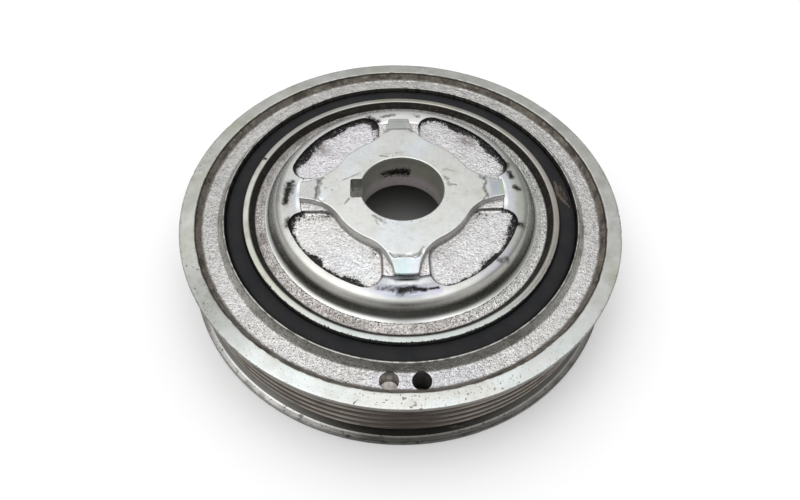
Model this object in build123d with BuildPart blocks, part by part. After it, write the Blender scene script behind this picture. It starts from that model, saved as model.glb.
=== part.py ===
from build123d import *
import math
import os

os.makedirs("parts", exist_ok=True)

# ---------------------------------------------------------------------------
# Crankshaft pulley with torsional damper: hub, rubber ring, pulley rim.
# Millimetres. +Z runs along the bore axis, out of the front face. The origin
# is on the axis in the plane of the rear flange, on which the pulley rests.
# The four arms of the boss lie on the X and Y axes and the keyway is at -X.
# Heights below are stated from the front face of the rim, called FACE.
# ---------------------------------------------------------------------------

FACE = 25.9                 # height of the rim's front face above the rest plane

# --- pulley rim -------------------------------------------------------------
rim_r = 72.0                # outer radius of the front flange
rim_edge = 0.30             # broken edge of the front flange
rim_face_in_r = 67.34       # inner edge of the machined front face
recess_out_r = 65.50        # foot of the recess's sloping outer wall
recess_in_r = 60.40         # foot of the ridge's slope
recess_z = -2.60            # cast recess floor
ridge_lip_r = 58.45         # ridge beside the rubber, outer edge of its lip
ridge_z = -0.12
rim_bore_r = 58.00          # inner wall, gripped by the rubber

groove_pitch = 3.56         # standard ribbed-belt pitch
groove_count = 6
groove_first_z = -3.77      # centre of the first groove
groove_crest_r = 70.00      # radius of the rib crests
groove_depth = 3.05
groove_crest_w = 0.62       # width of a rib's crest
groove_half_angle = 20.0

rear_lip_r = 70.85          # inner edge of the rear flange's ledge
rear_r = 72.70              # outer radius of the rear flange
rear_ledge_drop = 0.28
rear_recess_out_r = 65.30   # shallow cast recess in the rear face
rear_recess_in_r = 60.60
rear_recess_depth = 1.80
rear_face_in_r = 66.40
rear_ridge_r = 59.10
rear_ridge_up = 0.40

drill_r = 2.80              # balance drillings in the recess floor
drill_pcr = 62.90
drill_angles = (264.5, 272.8)
drill_depths = (6.7, 11.5)
drill_point = 118.0

# --- rubber ring ------------------------------------------------------------
rubber_out_r = rim_bore_r
rubber_in_r = 52.13
rubber_crown_z = -1.40
rubber_shoulder = 0.95      # rounded shoulder beside each iron
rubber_side_z = -2.95
rubber_low_z = -24.30

# --- hub --------------------------------------------------------------------
hub_r = rubber_in_r
hub_ring_z = -0.35          # machined outer ring
hub_ring_in_r = 50.35
ring_foot_r = 48.65         # foot of the ring's sloping inner wall
ring_foot_z = -2.75
cast_floor_in_r = 45.30     # cast ring floor, inner edge
cast_floor_in_z = -1.92

dome_in_r = 33.20           # turned ring: inner edge, at the ends of the arms
dome_in_z = 3.70
web_z = 4.20                # cast face of the web beside the arms
boss_z = 6.73               # machined face of the boss
boss_r = 23.10              # round middle of the boss
arm_tip_half = 2.90         # half width of an arm at arm_tip_r
arm_tip_r = 36.0
arm_flare = 10.5            # degrees, each side of an arm
arm_blend_r = 15.0
boss_draft = 4.0

facet_in_r = 27.50          # lowered tip of each arm
facet_drop = 0.40
facet_half = 3.45
facet_corner_r = 25.90
facet_corner_half = 4.95

pocket_r = 38.35            # kidney pockets
pocket_side = 7.10          # distance of a pocket's side from the arm's middle
pocket_floor_z = 2.75
pocket_corner_r = 4.90
pocket_inner_r = 5.50       # rounding where a pocket's side meets the boss
pocket_draft = 4.0
pocket_fillet = 0.9

bore_r = 13.50
bore_edge = 0.35
bore_low_z = -7.25
key_w = 8.0
key_out_r = 16.80
key_corner_r = 0.80

hub_low_boss_r = 21.5       # rear boss round the bore
web_under_z = -3.30
web_under_r = 38.5
skirt_in_r = 46.30          # inside of the hub's outer sleeve
skirt_top_z = -9.30
hub_low_z = -24.90


def z(h):
    """height above the rest plane, from a height stated from the front face"""
    return FACE + h


# ---------------------------------------------------------------------------
# pulley rim
# ---------------------------------------------------------------------------
half_crest = groove_crest_w / 2
flank = math.tan(math.radians(groove_half_angle))
top_half = groove_pitch / 2 - half_crest                # half width at the crest
bottom_half = top_half - groove_depth * flank           # half width at the bottom
bottom_r = groove_crest_r - groove_depth


def half_at(r):
    """half width of a groove at radius r"""
    return top_half + (r - groove_crest_r) * flank


rim_pts = []
# front flange, from the face outwards and down to the first groove
rim_pts += [(rim_face_in_r, z(0)), (rim_r - rim_edge, z(0)), (rim_r, z(-rim_edge))]
flange_low_r = rim_r - 0.15
first_z = groove_first_z
rim_pts += [(rim_r, z(first_z + half_at(flange_low_r) + 0.15)),
            (flange_low_r, z(first_z + half_at(flange_low_r)))]
for i in range(groove_count):
    gz = groove_first_z - i * groove_pitch
    if i > 0:
        rim_pts += [(groove_crest_r - 0.12, z(gz + top_half + 0.10)),
                    (groove_crest_r - 0.12 - 0.14, z(gz + half_at(groove_crest_r - 0.26)))]
    rim_pts += [(bottom_r, z(gz + bottom_half)), (bottom_r, z(gz - bottom_half))]
    if i < groove_count - 1:
        rim_pts += [(groove_crest_r - 0.12 - 0.14, z(gz - half_at(groove_crest_r - 0.26))),
                    (groove_crest_r - 0.12, z(gz - top_half - 0.10)),
                    (groove_crest_r, z(gz - top_half - 0.20)),
                    (groove_crest_r, z(gz - groove_pitch + top_half + 0.20))]
last_z = groove_first_z - (groove_count - 1) * groove_pitch
ledge_z = last_z - half_at(rear_lip_r)
rim_pts += [(rear_lip_r, z(ledge_z)),
            (rear_r - 0.55, z(ledge_z - rear_ledge_drop)),
            (rear_r - 0.15, z(ledge_z - rear_ledge_drop - 0.15)),
            (rear_r, z(ledge_z - rear_ledge_drop - 0.50)),
            (rear_r, 0.35), (rear_r - 0.35, 0.0)]
# rear face with its shallow cast recess
rim_pts += [(rear_face_in_r, 0.0),
            (rear_recess_out_r, rear_recess_depth),
            (rear_recess_in_r, rear_recess_depth),
            (rear_ridge_r, rear_ridge_up),
            (rim_bore_r + 0.45, rear_ridge_up),
            (rim_bore_r, rear_ridge_up + 0.45)]
# inner wall up to the ridge, its lip and slope, recess floor and wall
rim_pts += [(rim_bore_r, z(ridge_z - 0.20)),
            (rim_bore_r + 0.20, z(ridge_z)),
            (ridge_lip_r, z(ridge_z)),
            (recess_in_r, z(recess_z)),
            (recess_out_r, z(recess_z)),
            (rim_face_in_r - 0.15, z(-0.20))]

with BuildPart() as pulley_rim:
    with BuildSketch(Plane.XZ):
        with BuildLine():
            Polyline(*rim_pts, close=True)
        make_face()
    revolve(axis=Axis.Z)
    for angle, depth in zip(drill_angles, drill_depths):
        a = math.radians(angle)
        x, y = drill_pcr * math.cos(a), drill_pcr * math.sin(a)
        cone_h = drill_r / math.tan(math.radians(drill_point / 2))
        low = z(recess_z) - depth
        with BuildSketch(Plane((x, y, low))):
            Circle(drill_r)
        extrude(amount=depth + 4.0, mode=Mode.SUBTRACT)
        with Locations((x, y, low - cone_h / 2)):
            Cone(bottom_radius=0.02, top_radius=drill_r, height=cone_h,
                 mode=Mode.SUBTRACT)
pulley_rim.part.label = "pulley_rim"

# ---------------------------------------------------------------------------
# rubber ring: a plain sleeve with rounded shoulders beside both irons
# ---------------------------------------------------------------------------
rubber_mid_r = (rubber_out_r + rubber_in_r) / 2
low_side_z = rubber_low_z + (rubber_crown_z - rubber_side_z)

with BuildPart() as rubber_ring:
    with BuildSketch(Plane.XZ):
        with BuildLine():
            Line((rubber_in_r, z(low_side_z)), (rubber_in_r, z(rubber_side_z)))
            Spline((rubber_in_r, z(rubber_side_z)),
                   (rubber_in_r + rubber_shoulder, z(rubber_crown_z - 0.30)),
                   (rubber_mid_r, z(rubber_crown_z)),
                   (rubber_out_r - rubber_shoulder, z(rubber_crown_z - 0.30)),
                   (rubber_out_r, z(rubber_side_z)),
                   tangents=[(0.35, 1), (0.35, -1)])
            Line((rubber_out_r, z(rubber_side_z)), (rubber_out_r, z(low_side_z)))
            Spline((rubber_out_r, z(low_side_z)),
                   (rubber_out_r - rubber_shoulder, z(rubber_low_z + 0.30)),
                   (rubber_mid_r, z(rubber_low_z)),
                   (rubber_in_r + rubber_shoulder, z(rubber_low_z + 0.30)),
                   (rubber_in_r, z(low_side_z)),
                   tangents=[(-0.35, -1), (-0.35, 1)])
        make_face()
    revolve(axis=Axis.Z)
rubber_ring.part.label = "rubber_ring"

# ---------------------------------------------------------------------------
# hub
# ---------------------------------------------------------------------------
# where the concave blend between an arm and the round boss lies, in the
# quarter between the +X and +Y arms: its centre and its two ends
flare = math.radians(arm_flare)
edge_dist = arm_tip_r * math.sin(flare) + arm_tip_half * math.cos(flare)
blend_n = edge_dist + arm_blend_r
blend_s = math.sqrt((boss_r + arm_blend_r) ** 2 - blend_n ** 2)
blend_x = blend_n * math.sin(flare) + blend_s * math.cos(flare)
blend_y = blend_n * math.cos(flare) - blend_s * math.sin(flare)
on_boss = (blend_x * boss_r / (boss_r + arm_blend_r),
           blend_y * boss_r / (boss_r + arm_blend_r))

# one kidney pocket between two arms: two sides along the arms, the turned
# ring outside and the boss inside. The floor's outline, drafted outwards.
side = pocket_side + 0.15
outer = pocket_r - 0.15
far = math.sqrt(outer ** 2 - side ** 2)
mid = outer / math.sqrt(2)
near = blend_x - math.sqrt(arm_blend_r ** 2 - (blend_y - side) ** 2)
between = math.radians(
    (math.degrees(math.atan2(side - blend_y, near - blend_x))
     + math.degrees(math.atan2(on_boss[1] - blend_y, on_boss[0] - blend_x))) / 2)
blend_mid = (blend_x + arm_blend_r * math.cos(between),
             blend_y + arm_blend_r * math.sin(between))
boss_mid = boss_r / math.sqrt(2)

with BuildPart() as pocket:
    with BuildSketch(Plane.XY.offset(z(pocket_floor_z))):
        with BuildLine():
            Line((near, side), (far, side))
            ThreePointArc((far, side), (mid, mid), (side, far))
            Line((side, far), (side, near))
            ThreePointArc((side, near), (blend_mid[1], blend_mid[0]),
                          (on_boss[1], on_boss[0]))
            ThreePointArc((on_boss[1], on_boss[0]), (boss_mid, boss_mid), on_boss)
            ThreePointArc(on_boss, blend_mid, (near, side))
        make_face()
        fillet(vertices().sort_by(Axis.X)[-1], radius=pocket_corner_r)
        fillet(vertices().sort_by(Axis.Y)[-1], radius=pocket_corner_r)
        fillet(vertices().sort_by_distance((near, side, z(pocket_floor_z)))[0],
               radius=pocket_inner_r)
        fillet(vertices().sort_by_distance((side, near, z(pocket_floor_z)))[0],
               radius=pocket_inner_r)
    extrude(amount=web_z + 1.2 - pocket_floor_z, taper=-pocket_draft)
    fillet(faces().sort_by(Axis.Z)[0].edges(), radius=pocket_fillet)

# the four-armed boss, as a separate drafted block whose foot is below the
# pocket floors
with BuildPart() as boss:
    with BuildSketch(Plane.XY.offset(z(boss_z))):
        Circle(boss_r)
        slope = math.tan(math.radians(arm_flare))
        root_half = arm_tip_half + (arm_tip_r - 10.0) * slope
        with BuildLine():
            Polyline((arm_tip_r, arm_tip_half), (10.0, root_half),
                     (10.0, -root_half), (arm_tip_r, -arm_tip_half), close=True)
        arm_face = make_face()
        for k in range(1, 4):
            add(arm_face.rotate(Axis.Z, 90 * k))
        tips = vertices().filter_by(
            lambda v: abs(math.hypot(v.X, v.Y) - boss_r) < 0.05)
        fillet(tips, radius=arm_blend_r)
    extrude(amount=-(boss_z - 0.6), taper=-boss_draft)
    # the turned ring's inner edge cuts the arms off
    with BuildSketch(Plane.XY.offset(z(-1.0))):
        Circle(dome_in_r)
    extrude(amount=boss_z + 2.0, mode=Mode.INTERSECT)
    # lowered, slightly sloping tips of the arms
    for k in range(4):
        with BuildSketch(Plane.XY.offset(z(boss_z - facet_drop)).rotated((0, 0, 90 * k))):
            with BuildLine():
                Polyline((facet_in_r, facet_half), (facet_corner_r, facet_corner_half),
                         (facet_corner_r, 9.0), (40.0, 9.0), (40.0, -9.0),
                         (facet_corner_r, -9.0), (facet_corner_r, -facet_corner_half),
                         (facet_in_r, -facet_half), close=True)
            make_face()
        extrude(amount=facet_drop + 1.0, mode=Mode.SUBTRACT)

# the turned ring, from the ends of the arms over its crest and down to the
# cast ring floor
dome_pts = [
    (dome_in_r, z(dome_in_z)), (34.6, z(3.84)), (36.5, z(3.96)), (38.4, z(3.99)),
    (39.8, z(3.87)), (40.8, z(3.50)), (41.5, z(2.90)), (42.1, z(1.97)),
    (42.6, z(0.92)), (43.05, z(-0.08)), (43.6, z(-1.00)), (44.3, z(-1.72)),
    (cast_floor_in_r, z(-2.10)),
]

with BuildPart() as hub:
    with BuildSketch(Plane.XZ):
        with BuildLine():
            Polyline((bore_r, z(bore_low_z)), (bore_r, z(web_z)),
                     (dome_in_r, z(web_z)), (dome_in_r, z(dome_in_z)))
            Spline(*dome_pts, tangents=[(1.0, 0.12), (1.0, -0.14)])
            Polyline((cast_floor_in_r, z(-2.10)),
                     (cast_floor_in_r, z(cast_floor_in_z)),
                     (48.0, z(-2.62)),
                     (ring_foot_r, z(ring_foot_z + 0.28)),
                     (hub_ring_in_r - 0.15, z(hub_ring_z - 0.20)),
                     (hub_ring_in_r, z(hub_ring_z)),
                     (hub_r - 0.25, z(hub_ring_z)),
                     (hub_r, z(hub_ring_z - 0.25)),
                     (hub_r, z(hub_low_z + 0.5)),
                     (hub_r - 0.5, z(hub_low_z)),
                     (skirt_in_r + 0.9, z(hub_low_z)),
                     (skirt_in_r + 0.5, z(hub_low_z + 0.4)),
                     (skirt_in_r, z(skirt_top_z)),
                     (44.6, z(-7.60)),
                     (41.4, z(-6.20)),
                     (web_under_r, z(web_under_z)),
                     (hub_low_boss_r + 2.2, z(web_under_z)),
                     (hub_low_boss_r + 0.6, z(web_under_z - 0.9)),
                     (hub_low_boss_r, z(bore_low_z + 0.4)),
                     (hub_low_boss_r - 0.4, z(bore_low_z)),
                     (bore_r, z(bore_low_z)))
        make_face()
    revolve(axis=Axis.Z)
    # kidney pockets between the arms
    for k in range(4):
        add(pocket.part, rotation=(0, 0, 90 * k), mode=Mode.SUBTRACT)
    # boss
    add(boss.part)
    # bore and keyway through the boss
    with BuildSketch(Plane.XY.offset(z(bore_low_z) - 1.0)):
        Circle(bore_r)
    extrude(amount=boss_z - bore_low_z + 2.0, mode=Mode.SUBTRACT)
    with BuildSketch(Plane.XY.offset(z(bore_low_z) - 1.0)):
        with Locations((-(key_out_r + 6.0) / 2, 0)):
            key_face = Rectangle(key_out_r - 6.0, key_w)
        fillet(vertices().group_by(Axis.X)[0], radius=key_corner_r)
    extrude(amount=boss_z - bore_low_z + 2.0, mode=Mode.SUBTRACT)
    bore_rims = edges().filter_by(GeomType.CIRCLE).filter_by(
        lambda e: abs(e.radius - bore_r) < 1e-3)
    chamfer(bore_rims, length=bore_edge)
hub.part.label = "hub"

export_step(hub.part, "parts/hub.step")
export_step(rubber_ring.part, "parts/rubber_ring.step")
export_step(pulley_rim.part, "parts/pulley_rim.step")
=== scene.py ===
import math

import bmesh
import bpy
import numpy as np
from mathutils import Matrix, Vector
from mathutils.geometry import delaunay_2d_cdt


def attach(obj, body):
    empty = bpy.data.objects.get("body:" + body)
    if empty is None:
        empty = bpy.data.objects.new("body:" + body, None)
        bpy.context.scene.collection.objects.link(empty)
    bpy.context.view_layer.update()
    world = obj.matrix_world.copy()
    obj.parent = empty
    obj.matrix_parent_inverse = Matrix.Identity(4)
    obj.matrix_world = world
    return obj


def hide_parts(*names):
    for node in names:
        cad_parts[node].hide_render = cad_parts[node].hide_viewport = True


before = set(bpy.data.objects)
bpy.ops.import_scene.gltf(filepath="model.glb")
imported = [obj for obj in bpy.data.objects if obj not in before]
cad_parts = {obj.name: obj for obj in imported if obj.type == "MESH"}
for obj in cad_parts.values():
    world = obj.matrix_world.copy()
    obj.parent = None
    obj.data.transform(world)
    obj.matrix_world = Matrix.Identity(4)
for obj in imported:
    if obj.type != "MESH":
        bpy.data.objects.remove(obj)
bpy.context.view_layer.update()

MM = 0.001
FACE = 25.9          # height of the rim's front face above the floor, mm


# ---------------------------------------------------------------------------
# small numeric helpers (everything in millimetres until a mesh is made)
# ---------------------------------------------------------------------------
def smooth(x, a, b):
    """0 below a, 1 above b, smooth between (a may be above b)"""
    t = np.clip((np.asarray(x, float) - a) / (b - a), 0.0, 1.0)
    return t * t * (3 - 2 * t)


def lin(*c):
    """screen colour 0-255 as linear values"""
    c = np.array(c, float) / 255.0
    return np.where(c <= 0.04045, c / 12.92, ((c + 0.055) / 1.055) ** 2.4)


_tables = {}


def vnoise(p, size, seed):
    """smooth noise from -1 to 1 at points p (n, 3), features about size mm"""
    if seed not in _tables:
        rs = np.random.RandomState(seed)
        _tables[seed] = (rs.permutation(4096), rs.uniform(-1, 1, 4096))
    perm, val = _tables[seed]
    q = p / size + 517.3
    i = np.floor(q).astype(np.int64)
    f = q - i
    u = f * f * f * (f * (f * 6 - 15) + 10)
    out = np.zeros(len(p))
    for dx in (0, 1):
        a = perm[(i[:, 0] + dx) & 4095]
        wx = u[:, 0] if dx else 1 - u[:, 0]
        for dy in (0, 1):
            b = perm[(a + i[:, 1] + dy) & 4095]
            wy = u[:, 1] if dy else 1 - u[:, 1]
            for dz in (0, 1):
                c = perm[(b + i[:, 2] + dz) & 4095]
                wz = u[:, 2] if dz else 1 - u[:, 2]
                out += wx * wy * wz * val[c]
    return out


def fractal(p, size, seed, octaves=3, gain=0.5):
    out, amp, tot = 0.0, 1.0, 0.0
    for k in range(octaves):
        out = out + amp * vnoise(p, size / 2 ** k, seed + k)
        tot += amp
        amp *= gain
    return out / tot


def along(points, step):
    """a polyline with each run divided into lengths of about step"""
    out = [points[0]]
    for a, b in zip(points[:-1], points[1:]):
        n = max(1, int(round(math.dist(a, b) / step)))
        for k in range(1, n + 1):
            out.append((a[0] + (b[0] - a[0]) * k / n, a[1] + (b[1] - a[1]) * k / n))
    return out


def revolve(profile, n, closed=True):
    """rings of the profile's (r, z) points about +Z: points and faces"""
    pr = np.array(profile, float)
    m = len(pr)
    t = np.arange(n) * 2 * math.pi / n
    v = np.stack([np.outer(np.cos(t), pr[:, 0]), np.outer(np.sin(t), pr[:, 0]),
                  np.tile(pr[:, 1], (n, 1))], -1).reshape(-1, 3)
    i = np.arange(n)[:, None]
    j = np.arange(m if closed else m - 1)[None, :]
    i2, j2 = (i + 1) % n, (j + 1) % m
    q = np.stack([i * m + j, i2 * m + j, i2 * m + j2, i * m + j2], -1).reshape(-1, 4)
    return v, q


def new_object(name, verts, faces):
    me = bpy.data.meshes.new(name)
    me.from_pydata((np.asarray(verts) * MM).tolist(), [], faces)
    ob = bpy.data.objects.new(name, me)
    bpy.context.scene.collection.objects.link(ob)
    return ob


def clean(ob, weld=0.002):
    bm = bmesh.new()
    bm.from_mesh(ob.data)
    bmesh.ops.remove_doubles(bm, verts=bm.verts, dist=weld * MM)
    bmesh.ops.dissolve_degenerate(bm, dist=0.0002 * MM, edges=bm.edges)
    bmesh.ops.recalc_face_normals(bm, faces=bm.faces)
    bm.to_mesh(ob.data)
    bm.free()


def cut(ob, cutters):
    """takes the cutters out of ob"""
    for c in cutters:
        mod = ob.modifiers.new("cut", "BOOLEAN")
        mod.operation = "DIFFERENCE"
        mod.solver = "EXACT"
        mod.object = c
        dg = bpy.context.evaluated_depsgraph_get()
        me = bpy.data.meshes.new_from_object(ob.evaluated_get(dg))
        ob.modifiers.clear()
        old = ob.data
        ob.data = me
        bpy.data.meshes.remove(old)
        me.name = ob.name
    for c in cutters:
        bpy.data.objects.remove(c)


def points_of(me):
    co = np.zeros(len(me.vertices) * 3, np.float32)
    me.vertices.foreach_get("co", co)
    return co.reshape(-1, 3).astype(float) / MM


def normals_of(me):
    no = np.zeros(len(me.vertices) * 3, np.float32)
    me.vertices.foreach_get("normal", no)
    return no.reshape(-1, 3).astype(float)


def set_points(me, p):
    me.vertices.foreach_set("co", (p * MM).astype(np.float32).ravel())
    me.update()


def put(me, name, values):
    a = me.attributes.new(name, "FLOAT", "POINT")
    a.data.foreach_set("value", np.asarray(values, np.float32))


def put_colour(me, name, rgb):
    a = me.attributes.new(name, "FLOAT_COLOR", "POINT")
    rgba = np.ones((len(rgb), 4), np.float32)
    rgba[:, :3] = rgb
    a.data.foreach_set("color", rgba.ravel())


def blob(p, x, y, rx, ry, turn=0.0):
    """1 in the middle of an ellipse on the plan, 0 at its edge and outside"""
    a = math.radians(turn)
    dx, dy = p[:, 0] - x, p[:, 1] - y
    u = (dx * math.cos(a) + dy * math.sin(a)) / rx
    v = (-dx * math.sin(a) + dy * math.cos(a)) / ry
    return np.clip(1 - np.sqrt(u * u + v * v), 0, 1)


def stroke(p, pts):
    """1 on a line of (x, y, half width) points on the plan, falling to 0 at its half width"""
    best = np.zeros(len(p))
    for (ax, ay, aw), (bx, by, bw) in zip(pts[:-1], pts[1:]):
        dx, dy = bx - ax, by - ay
        t = np.clip(((p[:, 0] - ax) * dx + (p[:, 1] - ay) * dy) / (dx * dx + dy * dy), 0, 1)
        dist = np.hypot(p[:, 0] - ax - t * dx, p[:, 1] - ay - t * dy)
        best = np.maximum(best, 1 - dist / (aw + (bw - aw) * t))
    return np.clip(best, 0, 1)


def around(th, knots):
    """value at angle th (degrees) from (angle, value) knots, which go once round"""
    k = sorted(knots)
    a = [k[-1][0] - 360] + [q[0] for q in k] + [k[0][0] + 360]
    b = [k[-1][1]] + [q[1] for q in k] + [k[0][1]]
    return np.interp(th, a, b)


def arc_near(th, a, w):
    """1 at the angle a, fading to 0 at w degrees each side of it"""
    return smooth(np.abs((th - a + 180) % 360 - 180), w, 0.0)


def mixc(a, b, t):
    t = np.clip(np.asarray(t, float), 0, 1)
    return a * (1 - t[:, None]) + b * t[:, None]


# ---------------------------------------------------------------------------
# pulley rim
# ---------------------------------------------------------------------------
H = lambda h: FACE + h

PITCH, GROOVES, FIRST_Z = 3.56, 6, -3.77
CREST_R, DEPTH = 70.0, 3.05
FLANK = math.tan(math.radians(20))
TOP_HALF = PITCH / 2 - 0.31
BOTTOM_HALF = TOP_HALF - DEPTH * FLANK


def half_at(r):
    return TOP_HALF + (r - CREST_R) * FLANK


def rim_profile():
    p = []
    # front face, its broken edge and the flange's side
    p += [(67.34, H(-0.02)), (67.62, H(0)), (68.5, H(0)), (69.5, H(0)), (70.5, H(0)),
          (71.2, H(0)), (71.55, H(0)), (71.76, H(-0.02)), (71.93, H(-0.11)),
          (72.0, H(-0.30)), (72.0, H(-0.85)), (72.0, H(FIRST_Z + half_at(71.85) + 0.22)),
          (71.93, H(FIRST_Z + half_at(71.85) + 0.06)), (71.80, H(FIRST_Z + half_at(71.80)))]
    for i in range(GROOVES):
        z = FIRST_Z - i * PITCH
        if i > 0:
            p += [(69.97, H(z + TOP_HALF + 0.17)), (69.86, H(z + TOP_HALF + 0.02)),
                  (69.55, H(z + half_at(69.55)))]
        p += [(68.2, H(z + half_at(68.2)))]
        p += [(67.12, H(z + half_at(67.12))), (66.96, H(z + BOTTOM_HALF * 0.55)),
              (66.96, H(z - BOTTOM_HALF * 0.55)), (67.12, H(z - half_at(67.12)))]
        p += [(68.2, H(z - half_at(68.2)))]
        if i < GROOVES - 1:
            p += [(69.55, H(z - half_at(69.55))), (69.86, H(z - TOP_HALF - 0.02)),
                  (69.97, H(z - TOP_HALF - 0.17))]
    z = FIRST_Z - (GROOVES - 1) * PITCH
    led = z - half_at(70.85)
    p += [(69.6, H(z - half_at(69.6))), (70.78, H(led + 0.03)), (70.95, H(led - 0.05)),
          (71.6, H(led - 0.17)), (72.15, H(led - 0.28)), (72.50, H(led - 0.38)),
          (72.66, H(led - 0.56)), (72.70, H(led - 0.85)), (72.70, 1.5), (72.70, 0.35),
          (72.60, 0.12), (72.36, 0.0)]
    # rear face and its shallow cast recess
    p += [(71.0, 0.0), (69.3, 0.0), (67.7, 0.0), (66.6, 0.0), (66.38, 0.05)]
    p += along([(66.3, 0.18), (65.5, 1.45)], 0.5)
    p += [(65.2, 1.72)] + along([(64.8, 1.80), (61.1, 1.80)], 0.55) + [(60.6, 1.72)]
    p += along([(60.35, 1.50), (59.3, 0.50)], 0.5) + [(59.1, 0.40), (58.45, 0.40), (58.0, 0.85)]
    # inner wall, ridge lip and slope, recess floor and sloping wall
    p += [(58.0, 8.0), (58.0, 17.0), (58.0, H(-0.42)), (58.04, H(-0.24)), (58.18, H(-0.14)),
          (58.38, H(-0.12)), (58.52, H(-0.18))]
    p += along([(58.62, H(-0.33)), (60.20, H(-2.32))], 0.42)
    p += [(60.42, H(-2.52)), (60.72, H(-2.60))]
    p += along([(61.15, H(-2.60)), (64.85, H(-2.60))], 0.44)
    p += [(65.22, H(-2.55)), (65.48, H(-2.35))]
    p += along([(65.66, H(-2.10)), (67.02, H(-0.42))], 0.43)
    p += [(67.20, H(-0.16))]
    return p


def drill(name, x, y, low, radius):
    cone = radius / math.tan(math.radians(59))
    v, q = revolve([(0.004, low - cone), (radius, low), (radius, H(0.6)), (0.004, H(0.6))], 64)
    ob = new_object(name, v + np.array([x, y, 0]), q.tolist())
    clean(ob)
    return ob


def build_rim():
    v, q = revolve(rim_profile(), 640)
    ob = new_object("pulley_rim_body", v, q.tolist())
    me = ob.data
    bm = bmesh.new()
    bm.from_mesh(me)
    bmesh.ops.recalc_face_normals(bm, faces=bm.faces)
    bm.to_mesh(me)
    bm.free()
    p = points_of(me)
    n = normals_of(me)
    r = np.hypot(p[:, 0], p[:, 1])
    h = p[:, 2] - FACE
    # cast skin: recess wall, floor and ridge slope, and the rear recess
    front = smooth(r, 58.45, 58.9) * smooth(r, 67.2, 66.9) * (h > -3) * (h < -0.13)
    rear = smooth(r, 59.2, 59.7) * smooth(r, 66.2, 65.7) * (p[:, 2] < 2.2) * (p[:, 2] > 0.2)
    cast = np.clip(front + rear, 0, 1)
    rough = (0.046 * vnoise(p, 0.85, 11) + 0.028 * vnoise(p, 1.6, 12)
             + 0.024 * vnoise(p, 4.5, 13) + 0.03 * vnoise(p, 11.0, 14))
    p2 = p + n * (cast * rough)[:, None]
    # the sloping recess wall was left rough: low scallops and pits
    wall = smooth(r, 65.4, 65.9) * smooth(r, 67.25, 66.95) * (h > -2.6) * (h < -0.1)
    p2 += n * (wall * (0.10 * vnoise(p, 1.3, 15) + 0.06 * vnoise(p, 0.7, 16)
                       + 0.08 * vnoise(p, 3.2, 19)))[:, None]
    # where the turned face breaks into the cast wall its edge wanders
    lip = smooth(np.abs(r - 67.3), 0.5, 0.0) * (h > -0.6)
    p2[:, :2] *= (1 + lip * (0.0015 * vnoise(p, 4.0, 17) + 0.0013 * vnoise(p, 1.3, 18)))[:, None]
    # the lip beside the rubber is worn and a little uneven
    rub = smooth(np.abs(r - 58.4), 0.4, 0.0) * (h > -0.5)
    p2[:, 2] += rub * (0.035 * vnoise(p, 2.6, 35) + 0.03 * vnoise(p, 0.9, 36) - 0.01)
    # nicks in the two flanges' outer edges
    th = np.degrees(np.arctan2(p[:, 1], p[:, 0])) % 360
    rs = np.random.RandomState(5)
    for k in range(46):
        t0 = rs.uniform(0, 360)
        w = rs.uniform(0.25, 0.8)
        d = rs.uniform(0.03, 0.14)
        near = np.exp(-(((th - t0 + 180) % 360 - 180) / w) ** 2)
        if k % 2:
            e = smooth(r, 71.3, 71.95) * smooth(h, -1.0, -0.1)
        else:
            e = smooth(r, 72.1, 72.6) * smooth(p[:, 2], 1.6, 2.4)
        p2[:, :2] *= (1 - near * e * d / 72.0)[:, None]
        p2[:, 2] -= near * e * d * 0.7
    # knocks in the rear flange's upper edge at the front
    for t0, w, d in ((255.5, 0.5, 0.16), (259.1, 0.4, 0.12), (264.0, 0.6, 0.15), (268.6, 0.5, 0.12),
                     (271.8, 0.3, 0.18), (282.9, 0.7, 0.16), (284.3, 0.3, 0.12), (243.0, 0.4, 0.1)):
        near = np.exp(-(((th - t0 + 180) % 360 - 180) / w) ** 2)
        e = smooth(r, 72.0, 72.6) * smooth(p[:, 2], 1.4, 2.3)
        p2[:, :2] *= (1 - near * e * d / 72.0)[:, None]
        p2[:, 2] -= near * e * d * 0.8
    set_points(me, p2)
    cut(ob, [drill("d1", 62.9 * math.cos(math.radians(264.5)), 62.9 * math.sin(math.radians(264.5)),
                   H(-2.6 - 6.7), 2.8),
             drill("d2", 62.9 * math.cos(math.radians(272.8)), 62.9 * math.sin(math.radians(272.8)),
                   H(-2.6 - 11.5), 2.8)])
    return ob


# ---------------------------------------------------------------------------
# hub: outlines of the four-armed boss and of the kidney pockets, folded into
# the eighth of the plan between an arm's middle and the diagonal
# ---------------------------------------------------------------------------
FL = math.radians(10.5)
NX, NY = math.sin(FL), math.cos(FL)
EDGE = 36.0 * NX + 2.90 * NY
BOSS_R, BLEND_R = 23.10, 15.0
BN = EDGE + BLEND_R
BS = math.sqrt((BOSS_R + BLEND_R) ** 2 - BN ** 2)
BX = BN * NX + BS * NY
BY = BN * NY - BS * NX
A_ARM = math.degrees(math.atan2(-NY, -NX)) % 360            # end of the blend on the arm
A_BOSS = math.degrees(math.atan2(-BY, -BX)) % 360           # end of the blend on the boss
DRAFT = math.tan(math.radians(4))
SIN4, COS4 = math.sin(math.radians(4)), math.cos(math.radians(4))
D49 = 0.177                                                 # boss outline's offset at the web

POCK_R, POCK_SIDE, POCK_C, POCK_I = 38.35, 7.10, 4.90, 5.50
OCX = math.sqrt((POCK_R - POCK_C) ** 2 - (POCK_SIDE + POCK_C) ** 2)
OCY = POCK_SIDE + POCK_C
ICY = POCK_SIDE + POCK_I
ICX = BX - math.sqrt((BLEND_R - D49 - POCK_I) ** 2 - (BY - ICY) ** 2)
A_OUT = math.degrees(math.atan2(OCY, OCX))                  # direction of the outer corner's end
A_IN = math.degrees(math.atan2(ICY - BY, ICX - BX)) % 360   # where the inner corner meets the boss

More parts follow.
